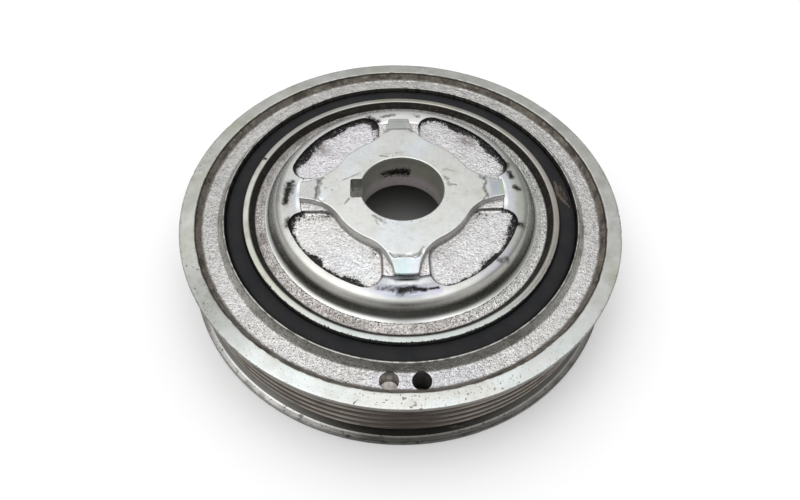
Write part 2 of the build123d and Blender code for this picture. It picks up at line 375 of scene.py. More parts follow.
BOSS_Z, WEB_Z, FLOOR_Z, FACET = 6.73, 4.20, 2.75, 0.40
POCK_F = 0.90                                               # fillet at the pockets' floor
ARM_END = 33.20


def fold(x, y):
    x, y = np.abs(x), np.abs(y)
    return np.maximum(x, y), np.minimum(x, y)


def boss_d(x, y):
    """distance outside the boss's outline, in the folded eighth"""
    r = np.hypot(x, y)
    line = NX * x + NY * y - EDGE
    ax, ay = x - BX, y - BY
    phi = np.degrees(np.arctan2(ay, ax)) % 360
    arc = BLEND_R - np.hypot(ax, ay)
    d = np.where((phi >= A_BOSS) & (phi <= A_ARM), arc,
                 np.where((phi > A_ARM) | (phi < 30), line, r - BOSS_R))
    return d


def pocket_p(x, y):
    """distance outside the pocket's outline (its sides and outer wall)"""
    r = np.hypot(x, y)
    p = np.maximum(POCK_SIDE - y, r - POCK_R)
    ox, oy = x - OCX, y - OCY
    po = np.degrees(np.arctan2(oy, ox))
    p = np.where((po >= -90) & (po <= A_OUT), np.hypot(ox, oy) - POCK_C, p)
    ix, iy = x - ICX, y - ICY
    pi = np.degrees(np.arctan2(iy, ix)) % 360
    p = np.where((pi >= A_IN) & (pi <= 270), np.hypot(ix, iy) - POCK_I, p)
    return p


def facet_f(x, y):
    """distance past the line where an arm's lowered tip begins"""
    ex, ey = 25.9 - 27.5, 4.95 - 3.45
    ln = math.hypot(ex, ey)
    n2 = (ey / ln, -ex / ln)
    f1 = x - 27.5
    f2 = (x - 27.5) * n2[0] + (y - 3.45) * n2[1]
    return np.maximum(f1, np.minimum(f2, x - 25.9))


def wall(s, floor, rad):
    """height of a drafted wall through (s=0, web) and its fillet to floor"""
    sc = (SIN4 * WEB_Z + rad - SIN4 * (floor + rad)) / COS4
    st = sc - rad * COS4
    zw = WEB_Z - s / DRAFT
    zf = floor + rad - np.sqrt(np.maximum(rad ** 2 - (sc - s) ** 2, 0))
    return np.where(s < st, zw, np.where(s < sc, zf, floor))


DOME = np.array([(33.20, 3.70), (34.6, 3.84), (36.5, 3.96), (38.4, 3.99), (39.8, 3.87),
                 (40.8, 3.50), (41.5, 2.90), (42.1, 1.97), (42.6, 0.92), (43.05, -0.08),
                 (43.6, -1.00), (44.3, -1.72), (45.30, -2.10)])


def dome_curve():
    P = np.vstack([2 * DOME[0] - DOME[1], DOME, 2 * DOME[-1] - DOME[-2]])
    out = []
    for k in range(1, len(P) - 2):
        p0, p1, p2, p3 = P[k - 1], P[k], P[k + 1], P[k + 2]
        for t in np.linspace(0, 1, 24, endpoint=False):
            out.append(0.5 * ((2 * p1) + (p2 - p0) * t + (2 * p0 - 5 * p1 + 4 * p2 - p3) * t ** 2
                              + (3 * p1 - p0 - 3 * p2 + p3) * t ** 3))
    out.append(DOME[-1])
    return np.array(out)


DC = dome_curve()


def top_height(x, y):
    """height of the hub's upper surface over the folded plan, from FACE"""
    r = np.hypot(x, y)
    d = boss_d(x, y)
    p = pocket_p(x, y)
    f = facet_f(x, y)
    dome = np.interp(r, DC[:, 0], DC[:, 1])
    # ends of the arms and the shelves: a wall down to the turned ring
    inside = r < ARM_END
    endwall = np.where(r < ARM_END - 0.10, 99.0,
                       np.where(inside, 6.8 - (r - ARM_END + 0.10) / 0.10 * 3.10, -9.0))
    base = np.where(inside, np.minimum(WEB_Z, endwall), dome)
    s = d - D49
    rt = 0.14
    cap = np.where(d < -rt, BOSS_Z, BOSS_Z - rt + np.sqrt(np.maximum(rt ** 2 - (d + rt) ** 2, 0)))
    cap = np.where(d > 0, BOSS_Z - rt, cap)
    cap = cap - FACET * smooth(f, -0.30, 0.20)
    deep = np.minimum(cap, wall(s, FLOOR_Z, POCK_F))
    shelf = np.minimum(cap, wall(s, WEB_Z, 0.5))
    deep = np.where(inside, np.minimum(deep, endwall), -9.0)
    shelf = np.where(inside, np.minimum(shelf, endwall), -9.0)
    upper = np.maximum(base, shelf)
    re = np.where(inside, 0.36, 0.12)
    edge = upper - re + np.sqrt(np.maximum(re ** 2 - (re - np.clip(p, 0, re)) ** 2, 0))
    pock = np.where(p >= 0, edge, np.minimum(upper - re, wall(-p, FLOOR_Z, POCK_F)))
    z = np.minimum(upper, pock)
    z = np.where(p > 0.5, upper, z)
    return np.maximum(z, np.where((p < 0.02) | (d < 0.3), deep, z))


def arc_pts(cx, cy, rad, a0, a1, step):
    n = max(2, int(abs(math.radians(a1 - a0)) * rad / step) + 1)
    t = np.radians(np.linspace(a0, a1, n + 1))
    return [(cx + rad * math.cos(a), cy + rad * math.sin(a)) for a in t]


def clip_octant(line):
    """keeps the runs of a polyline inside 0 <= y <= x, ending exactly on the borders"""
    runs, cur = [], []

    def cross(a, b):
        best = []
        for g in (lambda q: q[1], lambda q: q[0] - q[1]):
            ga, gb = g(a), g(b)
            if (ga < 0) != (gb < 0):
                t = ga / (ga - gb)
                best.append((t, (a[0] + (b[0] - a[0]) * t, a[1] + (b[1] - a[1]) * t)))
        return sorted(best)

    inside = lambda q: q[1] >= -1e-12 and q[0] - q[1] >= -1e-12
    for k, q in enumerate(line):
        if k and inside(line[k - 1]) != inside(q):
            c = cross(line[k - 1], q)
            if c:
                cur.append(c[0][1] if inside(line[k - 1]) else c[-1][1])
        if inside(q):
            cur.append(q)
        elif cur:
            runs.append(cur)
            cur = []
    if cur:
        runs.append(cur)
    return [r for r in runs if len(r) > 1]


def snap(q):
    x, y = q
    if abs(y) < 1e-6:
        y = 0.0
    if abs(x - y) < 1e-6:
        m = (x + y) / 2
        x = y = m
    return (x, y)


def octant_mesh(rows, scatter, r_in, n_in, r_out, n_out):
    """Delaunay mesh of the eighth between radii r_in and r_out, with the given rows kept as
    edges. n_in and n_out are the runs along its two round borders."""
    pts, edges, index = [], [], {}

    def add(q):
        q = snap(q)
        k = (round(q[0], 6), round(q[1], 6))
        if k not in index:
            index[k] = len(pts)
            pts.append(q)
        return index[k]

    def chain(line):
        ids = [add(q) for q in line]
        for a, b in zip(ids[:-1], ids[1:]):
            if a != b:
                edges.append((a, b))

    inner = [(r_in * math.cos(t), r_in * math.sin(t)) for t in np.linspace(0, math.pi / 4, n_in + 1)]
    outer = [(r_out * math.cos(t), r_out * math.sin(t)) for t in np.linspace(0, math.pi / 4, n_out + 1)]
    inner[-1] = (r_in * math.sqrt(0.5),) * 2
    outer[-1] = (r_out * math.sqrt(0.5),) * 2
    chain(inner)
    chain(outer)
    chain([inner[0], outer[0]])
    chain([inner[-1], outer[-1]])
    for line in rows:
        for run in clip_octant(line):
            keep = [q for q in run if r_in + 1e-6 < math.hypot(*q) < r_out - 1e-6]
            if len(keep) > 1:
                chain(keep)
    for q in scatter:
        add(q)
    out = delaunay_2d_cdt([Vector(q) for q in pts], edges, [], 0, 1e-7)
    v = np.array([tuple(q) for q in out[0]], float)
    tri = np.array([f for f in out[2]], int)
    c = v[tri].mean(1)
    rc = np.hypot(c[:, 0], c[:, 1])
    lim_in = r_in * math.cos(math.pi / 8 / n_in)
    keep = (c[:, 1] > 1e-9) & (c[:, 0] - c[:, 1] > 1e-9) & (rc > lim_in * 0.9999) & (rc < r_out)
    # drop what lies inside the inner border's chords
    a = np.degrees(np.arctan2(c[:, 1], c[:, 0]))
    seg = 45.0 / n_in
    mid = (np.floor(a / seg) + 0.5) * seg
    chord = r_in * math.cos(math.radians(seg / 2)) / np.cos(np.radians(a - mid))
    keep &= rc > chord - 1e-7
    return v, tri[keep]


def eight(v, tri, heights):
    """the eighth's mesh, with heights at its points, copied all round"""
    vs, fs, base = [], [], 0
    for k in range(4):
        a = math.pi / 2 * k
        c, s = round(math.cos(a)), round(math.sin(a))
        for flip in (False, True):
            x, y = (v[:, 1], v[:, 0]) if flip else (v[:, 0], v[:, 1])
            vs.append(np.stack([x * c - y * s, x * s + y * c, heights], -1))
            fs.append((tri[:, ::-1] if flip else tri) + base)
            base += len(v)
    return np.vstack(vs), np.vstack(fs)


def hub_top():
    step = 0.36
    rows = []

    def boss_row(d):
        line = []
        # arm's side, from beyond its end to the blend
        n = (NX, NY)
        e = EDGE + d
        tx, ty = BX - (BLEND_R - d) * NX, BY - (BLEND_R - d) * NY
        x0 = ARM_END + 0.02
        y0 = (e - NX * x0) / NY
        line += along([(x0, y0), (tx, ty)], step)
        line += arc_pts(BX, BY, BLEND_R - d, A_ARM, A_BOSS, step)[1:]
        a_end = math.degrees(math.atan2(BY, BX))
        line += arc_pts(0, 0, BOSS_R + d, a_end, 46.0, step)[1:]
        return line

    def pocket_row(p):
        line = []
        if POCK_I + p > 0.05:
            line += arc_pts(ICX, ICY, POCK_I + p, A_IN, 270.0, step)
        line += along([(ICX, POCK_SIDE - p), (OCX, POCK_SIDE - p)], step)[1:]
        line += arc_pts(OCX, OCY, POCK_C + p, -90, A_OUT, step * 0.8)[1:]
        line += arc_pts(0, 0, POCK_R + p, A_OUT, 46.0, step)[1:]
        return line

    boss_rows = [-0.60, -0.14, -0.05, 0.0, 0.05, 0.10, 0.165, 0.22, 0.31, 0.44, 0.62, 0.86, 1.12]
    pock_rows = [0.45, 0.24, 0.10, 0.0, -0.043, -0.10, -0.22, -0.42, -0.66, -0.94]
    for d in boss_rows:
        rows.append(boss_row(d))
    for p in pock_rows:
        line = pocket_row(p)
        if p > 0:
            # outside the pocket the row stops at the boss's foot
            line = [q for q in line if boss_d(np.array(q[0]), np.array(q[1])) > 0.02]
        rows.append(line)
    for rad in (33.10, 33.15, 33.20, 33.32, 33.52, 33.85):
        a1 = math.degrees(math.asin(POCK_SIDE / rad))
        rows.append(arc_pts(0, 0, rad, 0.0, a1, step))
    # holds the boss face flat up to the bore's broken edge
    rows.append(arc_pts(0, 0, 14.02, 0.0, 45.0, 0.4603))
    # the line where an arm's lowered tip begins
    for o in (-0.30, -0.12, 0.04, 0.20):
        k = 3.45 - o * math.tan(math.radians(22))
        n2 = math.hypot(1.6, 1.5)
        tip = along([(27.5 + o, k), (27.5 + o - 1.6, k + 1.5)], 0.36)
        rows.append(along([(27.5 + o, 0.0), (27.5 + o, k)], 0.36) + tip[1:])
    rs = np.random.RandomState(3)

    def hexgrid(s, x0, x1, y0, y1):
        out = []
        row = 0
        y = y0
        while y < y1:
            xs = np.arange(x0 + (s / 2 if row % 2 else 0), x1, s)
            out.append(np.stack([xs, np.full(len(xs), y)], -1))
            y += s * 0.866
            row += 1
        g = np.vstack(out)
        return g + rs.uniform(-0.16, 0.16, g.shape) * s

    def sieve(g, s, test):
        x, y = g[:, 0], g[:, 1]
        r = np.hypot(x, y)
        d, p, f = boss_d(x, y), pocket_p(x, y), facet_f(x, y)
        ok = (y > 0.35 * s) & ((x - y) / math.sqrt(2) > 0.35 * s) & test(x, y, r, d, p)
        near = np.full(len(x), 9.0)
        for q in boss_rows:
            near = np.minimum(near, np.abs(d - q) + np.where(r > ARM_END, 9, 0))
        for q in pock_rows:
            near = np.minimum(near, np.abs(p - q) + np.where((q > 0) & (d < 0.02), 9, 0))
        for q in (33.1, 33.2, 33.32, 33.52, 33.85):
            near = np.minimum(near, np.where(p > -0.1, np.abs(r - q), 9))
        near = np.minimum(near, np.where(d < 0.2, np.abs(f + 0.05) - 0.26, 9))
        return g[ok & (near > 0.5 * s)]

    cast_g = sieve(hexgrid(0.33, 13, 44, 0, 31), 0.30,
                   lambda x, y, r, d, p: (d > 0.2) & (r < 38.25) & ((p < 0) | (r < 33.1)))
    boss_g = sieve(hexgrid(0.85, 13, 34, 0, 24), 0.75,
                   lambda x, y, r, d, p: (d < -0.1) & (r < 32.8) & (r > 14.2) & (x < 25.6))
    tip_g = sieve(hexgrid(0.42, 25.3, 34, 0, 8), 0.36,
                  lambda x, y, r, d, p: (d < -0.1) & (r < 33.0) & (x >= 25.6))
    dome_g = []
    radii = [34.25, 34.75, 35.3, 35.85, 36.4, 36.95, 37.5, 38.05] + [38.95, 39.3] + \
            list(np.arange(39.62, 43.0, 0.25))
    for k, rad in enumerate(radii):
        n = int(math.pi / 4 * rad / 0.42)
        t = (np.arange(n + 1) + (0.5 if k % 2 else 0.0)) * (math.pi / 4) / n
        t = t[t <= math.pi / 4 + 1e-9]
        dome_g.append(np.stack([rad * np.cos(t), rad * np.sin(t)], -1))
    dome_g = np.vstack(dome_g)
    x, y = dome_g[:, 0], dome_g[:, 1]
    p = pocket_p(x, y)
    r = np.hypot(x, y)
    near = np.full(len(x), 9.0)
    for q in pock_rows:
        near = np.minimum(near, np.abs(p - q))
    edge_ok = ((y > 0.15) | (y < 1e-9)) & (((x - y) > 0.2) | (np.abs(x - y) < 1e-9))
    dome_g = dome_g[(p > 0.1) & (near > 0.17) & edge_ok]
    scatter = [tuple(q) for g in (cast_g, boss_g, tip_g, dome_g) for q in g]
    # points along the two straight borders
    for rad in np.arange(14.6, 22.3, 0.8):
        scatter += [(rad, 0.0), (rad * math.sqrt(0.5),) * 2]
    for rad in np.arange(23.0, 25.5, 0.8):
        scatter += [(rad, 0.0)]
    for rad in list(np.arange(25.6, 27.0, 0.42)) + list(np.arange(28.0, 32.9, 0.42)):
        scatter += [(rad, 0.0)]
    for rad in np.arange(24.75, 37.2, 0.33):
        scatter += [(rad * math.sqrt(0.5),) * 2]
    v, tri = octant_mesh(rows, scatter, 13.85, 24, 43.2, 72)
    z = top_height(v[:, 0], v[:, 1]) + FACE
    return eight(v, tri, z)


UNDER = [(13.85, -7.25), (21.1, -7.25), (21.5, -6.85), (22.1, -4.2), (22.6, -3.55),
         (23.7, -3.30), (38.5, -3.30), (41.4, -6.20), (44.6, -7.60)]


def hub_under():
    rows = []
    for rad, _ in UNDER[1:-1]:
        rows.append(arc_pts(0, 0, rad, -1.0, 46.0, 0.9))
    pts = []
    for k, rad in enumerate([15.0, 16.3, 17.6, 18.9, 20.1] + list(np.arange(24.6, 38.0, 0.85))
                            + [39.3, 40.2, 42.3, 43.3]):
        n = max(6, int(math.pi / 4 * rad / 0.9))
        t = (np.arange(n + 1) + (0.5 if k % 2 else 0.0)) * (math.pi / 4) / n
        for a in t[t <= math.pi / 4 + 1e-9]:
            q = (rad * math.cos(a), rad * math.sin(a))
            if (q[1] > 0.2 or q[1] < 1e-9) and (q[0] - q[1] > 0.3 or abs(q[0] - q[1]) < 1e-9):
                pts.append(q)
    v, tri = octant_mesh(rows, pts, 13.85, 24, 44.6, 72)
    r = np.hypot(v[:, 0], v[:, 1])
    u = np.array(UNDER)
    z = np.interp(r, u[:, 0], u[:, 1]) + FACE
    v2, f2 = eight(v, tri, z)
    return v2, f2[:, ::-1]


def build_hub():
    tv, tf = hub_top()
    uv, uf = hub_under()
    # cast ring, outer ring, sleeve
    prof = [(43.2, float(np.interp(43.2, DC[:, 0], DC[:, 1])))]
    for rad in (43.55, 43.95, 44.4, 44.85, 45.22):
        prof.append((rad, float(np.interp(rad, DC[:, 0], DC[:, 1]))))
    prof += [(45.30, -2.05), (45.38, -1.94)]
    prof += along([(45.75, -1.96), (48.05, -2.60)], 0.46)
    prof += [(48.40, -2.66), (48.66, -2.48)]
    prof += along([(48.85, -2.20), (50.10, -0.68)], 0.48)
    prof += [(50.28, -0.43), (50.42, -0.36), (50.75, -0.35), (51.3, -0.35), (51.75, -0.35),
             (51.95, -0.38), (52.08, -0.48), (52.13, -0.68), (52.13, -2.9), (52.13, -13.0),
             (52.13, -24.3), (52.02, -24.62), (51.70, -24.88), (50.9, -24.90), (48.4, -24.90),
             (47.3, -24.90), (46.98, -24.80), (46.84, -24.5)]
    prof += [(46.78, -22.0), (46.70, -18.5), (46.60, -15.0), (46.45, -12.0), (46.30, -9.6),
             (46.0, -8.7), (45.4, -8.0), (44.6, -7.60)]
    prof = [(a, b + FACE) for a, b in prof]
    rv, rq = revolve(prof, 576, closed=False)
    bore = [(13.85, 6.73), (13.62, 6.62), (13.50, 6.38), (13.50, 3.0), (13.50, 0.0),
            (13.50, -3.5), (13.50, -6.90), (13.60, -7.13), (13.85, -7.25)]
    bv, bq = revolve([(a, b + FACE) for a, b in bore], 192, closed=False)
    verts = np.vstack([tv, uv, rv, bv])
    faces = tf.tolist()
    o = len(tv)
    faces += (uf + o).tolist()
    o += len(uv)
    faces += (rq + o).tolist()
    o += len(rv)
    faces += (bq + o).tolist()
    ob = new_object("hub_body", verts, faces)
    clean(ob)
    me = ob.data
    p = points_of(me)
    n = normals_of(me)
    x, y = fold(p[:, 0], p[:, 1])
    r = np.hypot(x, y)
    h = p[:, 2] - FACE
    top = h > -3.0
    d, q = boss_d(x, y), pocket_p(x, y)
    # cast skin: pockets, shelves beside the arms, ring floor, underside
    shelf = smooth(d, 0.0, 0.25) * smooth(r, 33.1, 32.9) * top * (h < 6.3)
    pock = smooth(q, 0.1, -0.1) * smooth(d, 0.0, 0.2) * top
    ring = smooth(r, 45.25, 45.6) * smooth(r, 50.3, 50.0) * top
    under = (h < -3.1) * smooth(r, 22.0, 23.5) * smooth(r, 51.0, 50.0)
    cast = np.clip(np.maximum.reduce([shelf, pock, ring, under]), 0, 1)
    rough = (0.042 * vnoise(p, 0.75, 21) + 0.028 * vnoise(p, 1.4, 22)
             + 0.030 * vnoise(p, 3.6, 23) + 0.04 * vnoise(p, 9.0, 24))
    flat = 1 - 0.6 * shelf * (1 - pock)
    p2 = p + n * (cast * rough * flat)[:, None]
    # the cast outlines wander a little on plan, the turned ones don't
    bend = np.clip(np.maximum(smooth(d, -0.3, 0.15), 0) * smooth(r, 43.0, 41.5) * (r < 33.4)
                   + pock * (r > 33.3), 0, 1) * top
    w = np.stack([vnoise(p, 3.2, 25), vnoise(p, 3.2, 26), np.zeros(len(p))], -1)
    fade = smooth(np.abs(r - ARM_END), 0.0, 0.8) * smooth(np.abs(r - POCK_R), 0.0, 0.5)
    p2 += w * (0.10 * bend * fade)[:, None]
    # the step at each arm's lowered tip was left ragged, each one differently
    f = facet_f(x, y)
    step = smooth(np.abs(f + 0.05), 1.6, 0.2) * smooth(d, -0.05, -0.5) * top * (h > 6.0)
    ux, uy = p[:, 0] / np.maximum(r, 1), p[:, 1] / np.maximum(r, 1)
    shift = 0.34 * vnoise(p, 1.5, 37) + 0.20 * vnoise(p, 0.7, 38)
    th = np.degrees(np.arctan2(p[:, 1], p[:, 0])) % 360
    # the right arm's step runs in two scallops, the back one's is nearly straight
    shift = shift * (1 - 0.8 * arc_near(th, 90, 20))
    scal = -0.9 * np.abs(np.sin(math.pi * (p[:, 1] - 2.3) / 5.2)) ** 0.8 + 0.3
    shift += arc_near(th, 0, 14) * scal
    p2[:, 0] += ux * step * shift
    p2[:, 1] += uy * step * shift
    ragged = smooth(np.abs(f + 0.45), 0.8, 0.1) * smooth(d, -0.2, -0.6) * top * (h > 6.0)
    p2[:, 2] -= ragged * (1 - 0.7 * arc_near(th, 90, 20)) * np.clip(vnoise(p, 0.8, 39) + 0.25, 0, 1) * 0.14
    set_points(me, p2)
    # keyway
    z0, z1 = FACE - 9, FACE + 9
    out = [(-8.0, -4.0), (-8.0, 4.0)]
    out += [(-16.0 + 0.8 * math.cos(a), 3.2 + 0.8 * math.sin(a))
            for a in np.linspace(math.pi / 2, math.pi, 7)]
    out += [(-16.0 + 0.8 * math.cos(a), -3.2 + 0.8 * math.sin(a))
            for a in np.linspace(math.pi, 1.5 * math.pi, 7)]
    m = len(out)
    kv = [(a, b, z0) for a, b in out] + [(a, b, z1) for a, b in out]
    kf = [list(range(m))[::-1], list(range(m, 2 * m))] + \
         [[i, (i + 1) % m, (i + 1) % m + m, i + m] for i in range(m)]
    key = new_object("key", kv, kf)
    clean(key)
    cut(ob, [key])
    return ob


# ---------------------------------------------------------------------------
# rubber ring
# ---------------------------------------------------------------------------
def build_rubber():
    a = [(52.13, -2.95), (52.17, -2.50), (52.30, -2.08), (52.55, -1.83), (52.90, -1.71),
         (53.4, -1.60), (54.0, -1.48), (54.6, -1.42), (55.06, -1.40), (55.6, -1.42),
         (56.1, -1.48), (56.6, -1.58), (57.1, -1.70), (57.48, -1.85), (57.75, -2.10),
         (57.94, -2.50), (58.0, -2.95)]
    up = [(r, FACE + h) for r, h in a]
    low = [(r, FACE - 24.30 - (h + 1.40)) for r, h in a][::-1]
    side = [(58.0, FACE - 9.0), (58.0, FACE - 16.0)]
    side2 = [(52.13, FACE - 16.0), (52.13, FACE - 9.0)]
    v, q = revolve(up + side + low + side2, 720)
    ob = new_object("rubber_ring_body", v, q.tolist())
    clean(ob)
    me = ob.data
    p, n = points_of(me), normals_of(me)
    r = np.hypot(p[:, 0], p[:, 1])
    t = np.arctan2(p[:, 1], p[:, 0])
    free = (smooth(p[:, 2], FACE - 2.9, FACE - 2.0) + smooth(p[:, 2], 3.0, 2.0))
    mid = smooth(np.abs(r - 55.06), 3.0, 1.8)
    ripple = 0.045 * vnoise(p, 6.0, 31) + 0.03 * vnoise(p, 2.2, 32) + 0.02 * vnoise(p, 0.9, 33)
    set_points(me, p + n * (free * mid * ripple)[:, None])
    return ob


rim = build_rim()
hub = build_hub()
rubber = build_rubber()


# ---------------------------------------------------------------------------
# finish: region masks and colours at the points of each mesh
# ---------------------------------------------------------------------------
def finish_rim(ob):
    me = ob.data
    p = points_of(me)
    r = np.hypot(p[:, 0], p[:, 1])
    h = p[:, 2] - FACE
    th = np.degrees(np.arctan2(p[:, 1], p[:, 0])) % 360
    n = len(p)
    top = h > -2.9
    inhole = np.zeros(n)
    hole_low = np.zeros(n)
    for a, deep in ((264.5, 6.7), (272.8, 11.5)):
        hx, hy = 62.9 * math.cos(math.radians(a)), 62.9 * math.sin(math.radians(a))
        mine = (np.hypot(p[:, 0] - hx, p[:, 1] - hy) < 2.83) * (h < -2.72) * (p[:, 2] > 5.0)
        inhole = np.maximum(inhole, mine)
        if deep < 8:
            hole_low = mine * (h < -2.6 - deep + 0.05)
    face = smooth(r, 67.22, 67.38) * (h > -0.30)
    wall_ = smooth(r, 65.2, 65.7) * (r < 67.36) * top * (h < -0.10) * (1 - inhole)
    floor_ = smooth(r, 60.1, 60.6) * smooth(r, 65.7, 65.2) * top
    slope = smooth(r, 58.5, 58.75) * smooth(r, 60.7, 60.1) * top
    lip = smooth(r, 58.75, 58.5) * (h > -0.6)
    side = (r > 66.9) * (h < -0.28) * (p[:, 2] > 3.0)
    rear = (p[:, 2] < 2.2)
    rcast = rear * (p[:, 2] > 0.1) * smooth(r, 66.4, 66.0)
    low = smooth(r, 69.6, 68.0) * side
    crest = smooth(r, 69.6, 69.9) * side * (r < 70.3) * (h > -22.2)
    flange_side = (r > 71.7) * (h < -0.28) * (h > -1.7)
    last = side * smooth(h, -22.3, -22.9) * (r < 70.75)
    front = smooth(p[:, 1], -30.0, -66.0)
    sides = smooth(np.abs(p[:, 0]), 30.0, 62.0)

    big = fractal(p, 14.0, 41, 3)
    med = fractal(p, 4.0, 45, 3)
    fine = fractal(p, 1.2, 49, 2)

    col = np.tile(lin(172, 172, 168), (n, 1))
    # the turned face: faint yellow-green stain at the back and sides, less of it at the front; lighter and bluer
    # towards the front and darker at the front left: painted highlight and painted shade
    col = mixc(col, lin(160, 162, 146), face * smooth(big, 0.0, 0.45) * (0.75 - 0.55 * front))
    col = mixc(col, lin(185, 186, 184), face * smooth(med, 0.05, 0.5) * 0.6)
    col = mixc(col, lin(182, 183, 180), face * arc_near(th, 268, 22) * 0.6)
    col = mixc(col, lin(150, 149, 143), face * smooth(-med, 0.12, 0.55) * 0.45)
    col = mixc(col, lin(186, 193, 193), face * front * smooth(big, 0.25, -0.3) * 0.7)
    col = mixc(col, lin(138, 140, 136), face * arc_near(th, 214, 20) * 0.9)
    # darker rub near the back left and scuffed belt at the front left
    col = mixc(col, lin(120, 119, 110), face * stroke(p, [(-66.4, 19.6, 1.6), (-69.0, 15.5, 1.4)])
               * smooth(fine, -0.3, 0.4) * 0.8)
    col = mixc(col, lin(128, 128, 122), face * arc_near(th, 210, 9) * smooth(fine, -0.1, 0.5) * 0.75)
    # cast surfaces
    w1 = mixc(np.tile(lin(112, 106, 98), (n, 1)), lin(78, 73, 67), smooth(med, -0.15, 0.35))
    w1 = mixc(w1, lin(142, 137, 128), smooth(fine, 0.25, 0.6) * (0.5 + 0.4 * smooth(p[:, 1], 0, 50)))
    col = mixc(col, w1, wall_)
    # cast floor: lighter and bluer at the front, darker at the left: painted highlight and painted shade
    fl = mixc(np.tile(lin(198, 197, 195), (n, 1)), lin(198, 198, 201), smooth(big, -0.2, 0.5) * front)
    fl = mixc(fl, lin(176, 174, 173), smooth(med, 0.1, 0.6) * (1 - front) * 0.6)
    fl = mixc(fl, fl * 0.88, arc_near(th, 180, 45))
    col = mixc(col, fl, floor_)
    # a darker band at the floor's outer edge, at the foot of the sloping wall
    col = mixc(col, lin(128, 123, 118), smooth(np.abs(r - 65.35), 0.55, 0.1) * top * smooth(fine, -0.5, 0.3) * 0.7)
    # ridge slope: darker at the front as painted shade
    sl = mixc(np.tile(lin(208, 207, 201), (n, 1)), lin(170, 167, 160), smooth(med, -0.1, 0.5))
    sl = mixc(sl, lin(88, 86, 81), front * 0.78)
    col = mixc(col, sl, slope)
    col = mixc(col, lin(166, 165, 160), lip)
    col = mixc(col, lin(96, 93, 88), lip * smooth(fine, 0.0, 0.4) * 0.8)
    # belt side: grooves darkened, most at their bottoms, as painted shade; rib crests paler, darkened at the front as
    # painted shade, with blotches
    gv = mixc(np.tile(lin(78, 72, 68), (n, 1)), lin(40, 37, 35), low)
    col = mixc(col, gv, side * 1.0)
    cr = np.tile(lin(168, 161, 152), (n, 1))
    cr = mixc(cr, lin(74, 68, 64), arc_near(th, 269, 15) ** 0.5)
    cr = mixc(cr, cr * 0.6, smooth(med, 0.1, 0.6) * 0.8)
    col = mixc(col, cr, crest)
    col = mixc(col, lin(122, 118, 112), flange_side * 1.0)
    # rear flange: ledge, side, root and corner in greys by angle, darkest at the front as painted shade, with dirt on
    # the ledge; lighter lines at the ledge's root and corner and above the lower edge are painted highlights, the band
    # along the lower edge painted shade
    rf = (r > 70.8) * (p[:, 2] < 3.0) * (p[:, 2] > -0.1) * 1.0
    at = [0, 30, 150, 200, 237, 262, 275, 300, 325, 360]

    def grey(vals):
        v = np.interp(th, at, vals)
        return np.stack([lin(v)[0], lin(v - 1.0)[0], lin(v - 4.0)[0]], 1)

    # the last groove: greys darkest at the front, painted shade
    dark = grey([80, 90, 90, 122, 104, 26, 24, 84, 110, 84])
    col = mixc(col, dark, last * 0.95)
    led_h = p[:, 2] - (FACE + FIRST_Z - (GROOVES - 1) * PITCH - half_at(70.85))
    sidec = grey([130, 140, 140, 132, 122, 60, 60, 92, 112, 130])
    sidec = mixc(sidec, sidec * 0.62, smooth(med, 0.0, 0.5) * 0.7)
    sidec = mixc(sidec, sidec * 1.5, smooth(np.abs(p[:, 2] - 1.0), 0.5, 0.1) * smooth(fine, -0.4, 0.2) * 0.6)
    ledge = grey([120, 126, 126, 132, 166, 66, 64, 96, 110, 120])
    ledge = mixc(ledge, ledge * 0.55, smooth(med, 0.0, 0.5) * 0.7)
    root = grey([150, 150, 150, 170, 222, 100, 98, 134, 146, 150])
    corner = grey([160, 160, 160, 176, 196, 116, 112, 120, 150, 160])
    col = mixc(col, sidec, rf)
    col = mixc(col, ledge, rf * smooth(r, 72.64, 72.5) * smooth(led_h, -0.5, -0.35))
    col = mixc(col, corner, rf * smooth(r, 72.55, 72.64) * smooth(led_h, -1.02, -0.84) * (0.8 + 0.4 * fine))
    col = mixc(col, root, (r > 70.9) * (r < 71.2) * (led_h > -0.3) * (led_h < 0.2) * 1.0)
    col = mixc(col, dark * 0.85, (r > 66.9) * (r < 70.9) * (led_h > -0.2) * (h < -22.2))
    col = mixc(col, lin(64, 62, 58), rf * smooth(p[:, 2], 0.4, 0.15))
    col = mixc(col, lin(166, 165, 160), rear * (r < 72.3) * (1 - rf))
    col = mixc(col, lin(122, 116, 109), rcast)
    col = mixc(col, lin(84, 78, 71), rcast * smooth(med, -0.1, 0.5) * 0.8)
    # drill holes: walls darkened, the left hole's most, as painted shade; the shallow hole's cone bottom pale
    col = mixc(col, lin(92, 89, 86), inhole)
    col = mixc(col, lin(58, 56, 54), inhole * (p[:, 0] < 0) * (1 - hole_low))
    col = mixc(col, lin(214, 209, 205), hole_low)

    metal = np.ones(n)
    metal = metal * (1 - 0.70 * wall_) * (1 - 0.25 * side * (1 - crest)) * (1 - 0.15 * slope)
    metal = metal * (1 - 0.5 * rcast) * (1 - 0.4 * inhole * (1 - hole_low))
    rgh = np.full(n, 0.34)
    rgh = rgh + 0.24 * wall_ + 0.03 * floor_ + 0.12 * slope + 0.12 * side * (1 - crest) + 0.10 * rear
    rgh = rgh - 0.08 * face * front - 0.10 * hole_low
    cast = np.clip(wall_ + floor_ * (1.12 + 0.18 * front) + slope * 1.1 + rcast, 0, 1.3)
    cast = cast * (1 - inhole)
    turned = np.clip(0.45 * face + 0.6 * lip + 0.8 * rear * np.clip(1 - cast, 0, 1) + 1.6 * side + 0.9 * hole_low, 0, 3)
    turned = np.maximum(turned, 2.6 * rf)
